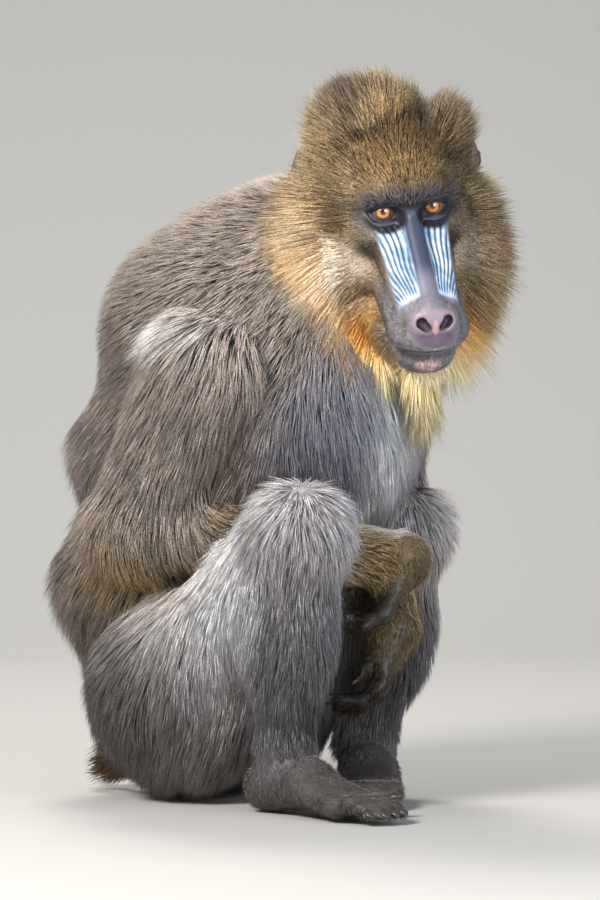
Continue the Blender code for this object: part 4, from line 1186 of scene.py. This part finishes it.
def tufts(name, stops, low, middle, tip, flow, ups, width, colours, places):
    """Closed three-sided tufts from foot to point."""
    across = unit(np.cross(flow, ups))
    rings = []
    shades = []
    spots = []
    for stop, girth in stops:
        centre = low * (1 - stop) ** 2 + 2 * middle * stop * (1 - stop) + tip * stop**2
        tone = (
            colours[:, 0] * max(0.0, 1 - 2 * stop)
            + colours[:, 1] * (1 - abs(2 * stop - 1))
            + colours[:, 2] * max(0.0, 2 * stop - 1)
        )
        spot = places + np.array([0.0, (stop - 0.5) * 0.003])
        if girth == 0.0:
            rings.append(centre)
            shades.append(tone)
            spots.append(spot)
            continue
        for turn in range(3):
            angle = 2 * math.pi * turn / 3 + math.pi / 2
            offset = across * math.cos(angle) + ups * (0.55 * math.sin(angle))
            rings.append(centre + offset * (width * girth)[:, None])
            shades.append(tone)
            spots.append(spot + np.array([(turn - 1) * 0.0012, 0.0]))
    points, shades, spots = (np.stack(rows, axis=1) for rows in (rings, shades, spots))
    faces = [(2, 1, 0)]
    last = (len(stops) - 2) * 3
    for first in range(0, last, 3):
        for turn in range(3):
            after = (turn + 1) % 3
            faces.append((first + turn, first + after, first + 3 + after, first + 3 + turn))
    faces += [(last + turn, last + (turn + 1) % 3, last + 3) for turn in range(3)]
    corners = np.concatenate([np.array(face) for face in faces])
    sides = np.array([len(face) for face in faces])
    count, each, _ = points.shape
    loops = (corners[None] + (np.arange(count) * each)[:, None]).ravel()
    made = new_mesh(name, points.reshape(-1, 3) - np.array(MIDDLE), loops, np.tile(sides, count))
    paint(made, shades.reshape(-1, 4))
    layer = made.data.uv_layers.new(name="OFBake")
    spots = np.clip(spots.reshape(-1, 2), 0.001, 0.999)
    layer.data.foreach_set("uv", spots[loops].astype(np.float32).ravel())
    return made


def new_material(name, roughness, specular):
    material = bpy.data.materials.new(name)
    material.use_nodes = True
    shader = material.node_tree.nodes["Principled BSDF"]
    shader.inputs["Roughness"].default_value = roughness
    shader.inputs["Specular IOR Level"].default_value = specular
    return material, material.node_tree, shader


def add_node(tree, kind, operation=None, **inputs):
    """A shader node, each input of which is given a value or linked to an output."""
    node = tree.nodes.new(kind)
    if operation:
        node.operation = operation
    for name, value in inputs.items():
        socket = node.inputs[name.replace("_", " ")]
        if isinstance(value, bpy.types.NodeSocket):
            tree.links.new(value, socket)
        else:
            socket.default_value = value
    return node


def scaled(tree, vector, scale):
    """A colour or place times a number."""
    return add_node(tree, "ShaderNodeVectorMath", "SCALE", Vector=vector, Scale=scale).outputs["Vector"]


def own_place(tree):
    """Coordinates of the object itself."""
    return add_node(tree, "ShaderNodeTexCoord").outputs["Object"]


def painted(tree):
    """The colours stored in the mesh, with how ticked the hair is as alpha."""
    node = add_node(tree, "ShaderNodeAttribute")
    node.attribute_name = "coat"
    return node.outputs


def coat_material():
    material, tree, shader = new_material("coat", 0.62, 0.22)
    colour = painted(tree)
    noise = add_node(tree, "ShaderNodeTexNoise", Vector=own_place(tree), Scale=620.0)
    spread = add_node(
        tree, "ShaderNodeMapRange", Value=noise.outputs["Fac"],
        From_Min=0.34, From_Max=0.66, To_Min=0.30, To_Max=1.75,
    )
    ticks = add_node(tree, "ShaderNodeMix", Factor=colour["Alpha"], A=1.0, B=spread.outputs["Result"])
    shade = scaled(tree, colour["Color"], ticks.outputs["Result"])
    tree.links.new(shade, shader.inputs["Base Color"])
    return material


def skin_material():
    material, tree, shader = new_material("skin", 0.48, 0.40)
    tree.links.new(painted(tree)["Color"], shader.inputs["Base Color"])
    pores = add_node(tree, "ShaderNodeTexNoise", Vector=own_place(tree), Scale=700.0, Detail=4.0)
    bump = add_node(tree, "ShaderNodeBump", Height=pores.outputs["Fac"], Strength=0.25, Distance=0.0006)
    tree.links.new(bump.outputs["Normal"], shader.inputs["Normal"])
    return material


def eye_material():
    """Amber iris round a black pupil, in the eye's own frame, where it looks along -y."""
    material, tree, shader = new_material("eye", 0.06, 0.7)
    shader.inputs["Coat Weight"].default_value = 1.0
    shader.inputs["Coat Roughness"].default_value = 0.02
    place = own_place(tree)
    split = add_node(tree, "ShaderNodeSeparateXYZ", Vector=place).outputs
    flat = add_node(tree, "ShaderNodeCombineXYZ", X=split["X"], Y=split["Z"])
    length = add_node(tree, "ShaderNodeVectorMath", "LENGTH", Vector=flat.outputs["Vector"])
    share = add_node(tree, "ShaderNodeMath", "DIVIDE", Value=length.outputs["Value"])
    share.inputs[1].default_value = EYE_RADIUS
    ramp = add_node(tree, "ShaderNodeValToRGB", Fac=share.outputs["Value"])
    stops = (
        (0.00, (0.002, 0.001, 0.001)), (0.21, (0.002, 0.001, 0.001)), (0.25, (0.30, 0.09, 0.012)),
        (0.40, (0.62, 0.24, 0.035)), (0.52, (0.42, 0.13, 0.018)), (0.58, (0.03, 0.012, 0.006)),
        (0.66, (0.10, 0.05, 0.03)), (1.00, (0.16, 0.09, 0.06)),
    )
    while len(ramp.color_ramp.elements) < len(stops):
        ramp.color_ramp.elements.new(0.5)
    for element, (place_at, shade) in zip(ramp.color_ramp.elements, stops):
        element.position = place_at
        element.color = (*shade, 1.0)
    fibres = add_node(tree, "ShaderNodeTexNoise", Vector=place, Scale=420.0)
    vary = add_node(tree, "ShaderNodeMapRange", Value=fibres.outputs["Fac"], To_Min=0.65, To_Max=1.35)
    shade = scaled(tree, ramp.outputs["Color"], vary.outputs["Result"])
    tree.links.new(shade, shader.inputs["Base Color"])
    return material


# Degrees that the eyes turn sideways and down.
GAZE = (-10.0, -16.0)
# The cornea bulges by this share of the radius. It starts at that share of the way to the front.
CORNEA_BULGE = 0.05
CORNEA_START = 0.80
# Room between the ball and its lids.
UNDER_LIDS = 0.0003


def make_eye(side, material):
    bpy.ops.mesh.primitive_uv_sphere_add(segments=48, ring_count=32, radius=EYE_RADIUS - UNDER_LIDS)
    ball = bpy.context.active_object
    ball.name = f"eyeball_{side}"
    points = points_of(ball.data)
    front = smooth((-points[:, 1] / EYE_RADIUS - CORNEA_START) / (1 - CORNEA_START))
    points *= (1 + CORNEA_BULGE * front)[:, None]
    ball.data.vertices.foreach_set("co", points.astype(np.float32).ravel())
    shade_smooth(ball.data)
    sideways = Matrix.Rotation(math.radians(GAZE[0]), 3, "Z")
    upward_turn = Matrix.Rotation(math.radians(GAZE[1]), 3, "X")
    gaze = HEAD_TURN @ sideways @ upward_turn
    place = HEAD_CENTRE + HEAD_TURN @ Vector(mirrored(SIGN[side], EYE)) - MIDDLE
    ball.matrix_world = Matrix.Translation(place) @ gaze.to_4x4()
    ball.data.materials.append(material)
    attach(ball, "root")
    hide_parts(f"eye_{side}")


# Half the box that holds an ear, and the grid's step in it.
EAR_BOX = 0.045
EAR_STEP = 0.0020


def make_ear(side, material):
    s = SIGN[side]
    form = on_head(ear_form(s))
    centre = HEAD_CENTRE + HEAD_TURN @ Vector(mirrored(s, EAR))
    axes = tuple(np.arange(place - EAR_BOX, place + EAR_BOX, EAR_STEP) for place in centre)
    points, quads = surface_net(form, axes)
    ear = quad_mesh(f"ear_skin_{side}", settled(form, points, 0.001), quads)
    q = to_head(points_of(ear.data))
    cup_middle = np.array((s * (EAR[0] + 0.006), EAR[1] - 0.004, EAR[2]))
    inner = smooth((0.014 - np.linalg.norm(q - cup_middle, axis=1)) / 0.01)
    paint(ear, mixed(EAR_RIM, EAR_CUP, inner))
    ear.data.transform(Matrix.Translation(-MIDDLE))
    ear.data.materials.append(material)
    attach(ear, "root")
    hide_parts(f"ear_{side}")


def make_nail(number, tip, way, back, radius, material):
    """A flat ball on the back of a digit's tip."""
    bpy.ops.mesh.primitive_uv_sphere_add(segments=16, ring_count=10, radius=1.0)
    nail = bpy.context.active_object
    nail.name = f"nail_{number:02d}"
    forward, across, up = limb_frame(way, back)
    turn = Matrix((across, forward, up)).transposed().to_4x4()
    centre = tip + up * radius * 0.75 + forward * radius * 0.3 - MIDDLE
    shape = Matrix.Diagonal((radius * 0.95, radius * 1.45, radius * 0.55, 1.0))
    nail.matrix_world = Matrix.Translation(centre) @ turn @ shape
    shade_smooth(nail.data)
    nail.data.materials.append(material)
    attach(nail, "root")


# Tufts shorter than this are straight, and so is that share of the longer ones.
SHORT = 0.016
STRAIGHT_SHARE = 0.7
SCATTER_SEED = 5
SHAPE_SEED = 6
# Most tufts in one piece.
MOST_STRAIGHT = 48000
MOST_BENT = 19500

skin, skin_distance = make_skin()
unwrap(skin)
paint(skin, in_batches(skin_colours, points_of(skin.data)))
roots, ups, places = scattered(skin, lambda p: in_batches(density, p), SCATTER_SEED)
low, middle, tip, flow, width, colours = shaped(roots, ups, SHAPE_SEED)
FUR = coat_material()
reach = np.linalg.norm(tip - low, axis=1)
short = (reach < SHORT) | (rng.random(len(reach)) < STRAIGHT_SHARE)
for kind, stops, which, most in (("fur", STRAIGHT, short, MOST_STRAIGHT), ("coat", BENT, ~short, MOST_BENT)):
    members = np.flatnonzero(which)
    members = members[np.argsort(roots[members, 2])]
    for number, chosen in enumerate(np.array_split(members, max(1, math.ceil(len(members) / most)))):
        parts = [array[chosen] for array in (low, middle, tip, flow, ups, width, colours, places)]
        piece = tufts(f"{kind}_{number:02d}", stops, *parts)
        piece.data.materials.append(FUR)
        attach(piece, "root")
skin.data.transform(Matrix.Translation(-MIDDLE))
skin.data.materials.append(skin_material())
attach(skin, "root")
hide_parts(*[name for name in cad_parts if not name.startswith(("eye", "ear"))])

ear_look = skin_material()
ear_look.name = "ear_skin"
for side in SIDES:
    make_ear(side, ear_look)

eye_look = eye_material()
for side in SIDES:
    make_eye(side, eye_look)

nail_look, _, nail_shader = new_material("nail", 0.35, 0.5)
nail_shader.inputs["Base Color"].default_value = (0.03, 0.024, 0.022, 1.0)
for number, nail in enumerate(nails):
    make_nail(number, *nail, nail_look)

# The camera's direction from the animal, its distance and its scale.
AZIMUTH = math.radians(-55)
ELEVATION = math.radians(3)
DISTANCE = 7.0
METRES_PER_PIXEL = 0.00083
level = math.cos(ELEVATION)
toward = Vector((math.sin(AZIMUTH) * level, -math.cos(AZIMUTH) * level, math.sin(ELEVATION)))
rightward = Vector((math.cos(AZIMUTH), math.sin(AZIMUTH), 0))
upward = toward.cross(rightward)


def make_stage():
    """A pale floor that curves up into a wall behind."""
    profile = [(-8.0, 0.0), (1.6, 0.0)]
    for step in range(1, 13):
        angle = math.pi / 2 * step / 12
        profile.append((1.6 + 1.2 * math.sin(angle), 1.2 * (1 - math.cos(angle))))
    profile.append((2.8, 5.0))
    points = []
    flat = Vector((toward.x, toward.y, 0)).normalized()
    for away, height in profile:
        for across in (-6.0, 6.0):
            points.append(-flat * away + rightward * across + Vector((0, 0, height)))
    faces = [(2 * i, 2 * i + 1, 2 * i + 3, 2 * i + 2) for i in range(len(profile) - 1)]
    floor = quad_mesh("floor", np.array(points), np.array(faces))
    material, _, shader = new_material("studio", 0.9, 0.2)
    shader.inputs["Base Color"].default_value = (0.36, 0.355, 0.345, 1.0)
    floor.data.materials.append(material)


def area_light(name, place, target, size, power, colour):
    data = bpy.data.lights.new(name, "AREA")
    data.shape = "DISK"
    data.size = size
    data.energy = power
    data.color = colour
    lamp = linked(name, data)
    lamp.location = place
    lamp.rotation_mode = "QUATERNION"
    lamp.rotation_quaternion = (Vector(target) - Vector(place)).to_track_quat("-Z", "Y")


make_stage()
aim = Vector((0, 0, 0.33))
# How far each light is toward the camera, to its right and up, then its size, watts and colour.
for lamp_name, near, right, height, size, power, colour in (
    ("key", 1.8, -1.2, 1.1, 0.8, 116, (1.0, 0.95, 0.89)),
    ("fill", 2.2, 1.5, 0.15, 1.6, 58, (0.90, 0.94, 1.0)),
    ("rim", -1.4, -0.3, 2.0, 0.8, 60, (1.0, 0.96, 0.90)),
):
    place = aim + toward * near + rightward * right + Vector((0, 0, height))
    area_light(lamp_name, place, aim, size, power, colour)

world = bpy.data.worlds.new("studio_air")
bpy.context.scene.world = world
world.use_nodes = True
world.node_tree.nodes["Background"].inputs["Color"].default_value = (0.85, 0.92, 1.0, 1.0)
world.node_tree.nodes["Background"].inputs["Strength"].default_value = 0.54

lens = bpy.data.cameras.new("camera")
camera = linked("camera", lens)
bpy.context.scene.camera = camera
# The photo's width and height, and the pixel right and down where the seat is.
PHOTO_WIDE, PHOTO_HIGH = 600, 900
SEAT_RIGHT, SEAT_DOWN = 262, 800
aside = PHOTO_WIDE / 2 - SEAT_RIGHT
above = SEAT_DOWN - PHOTO_HIGH / 2
seen = (rightward * aside + upward * above) * METRES_PER_PIXEL - MIDDLE
camera.location = seen + toward * DISTANCE
camera.rotation_mode = "QUATERNION"
camera.rotation_quaternion = (-toward).to_track_quat("-Z", "Y")
lens.sensor_fit = "VERTICAL"
lens.sensor_height = 24.0
lens.lens = lens.sensor_height * DISTANCE / (PHOTO_HIGH * METRES_PER_PIXEL)
lens.clip_end = 50.0
bpy.context.scene.view_settings.view_transform = "Standard"
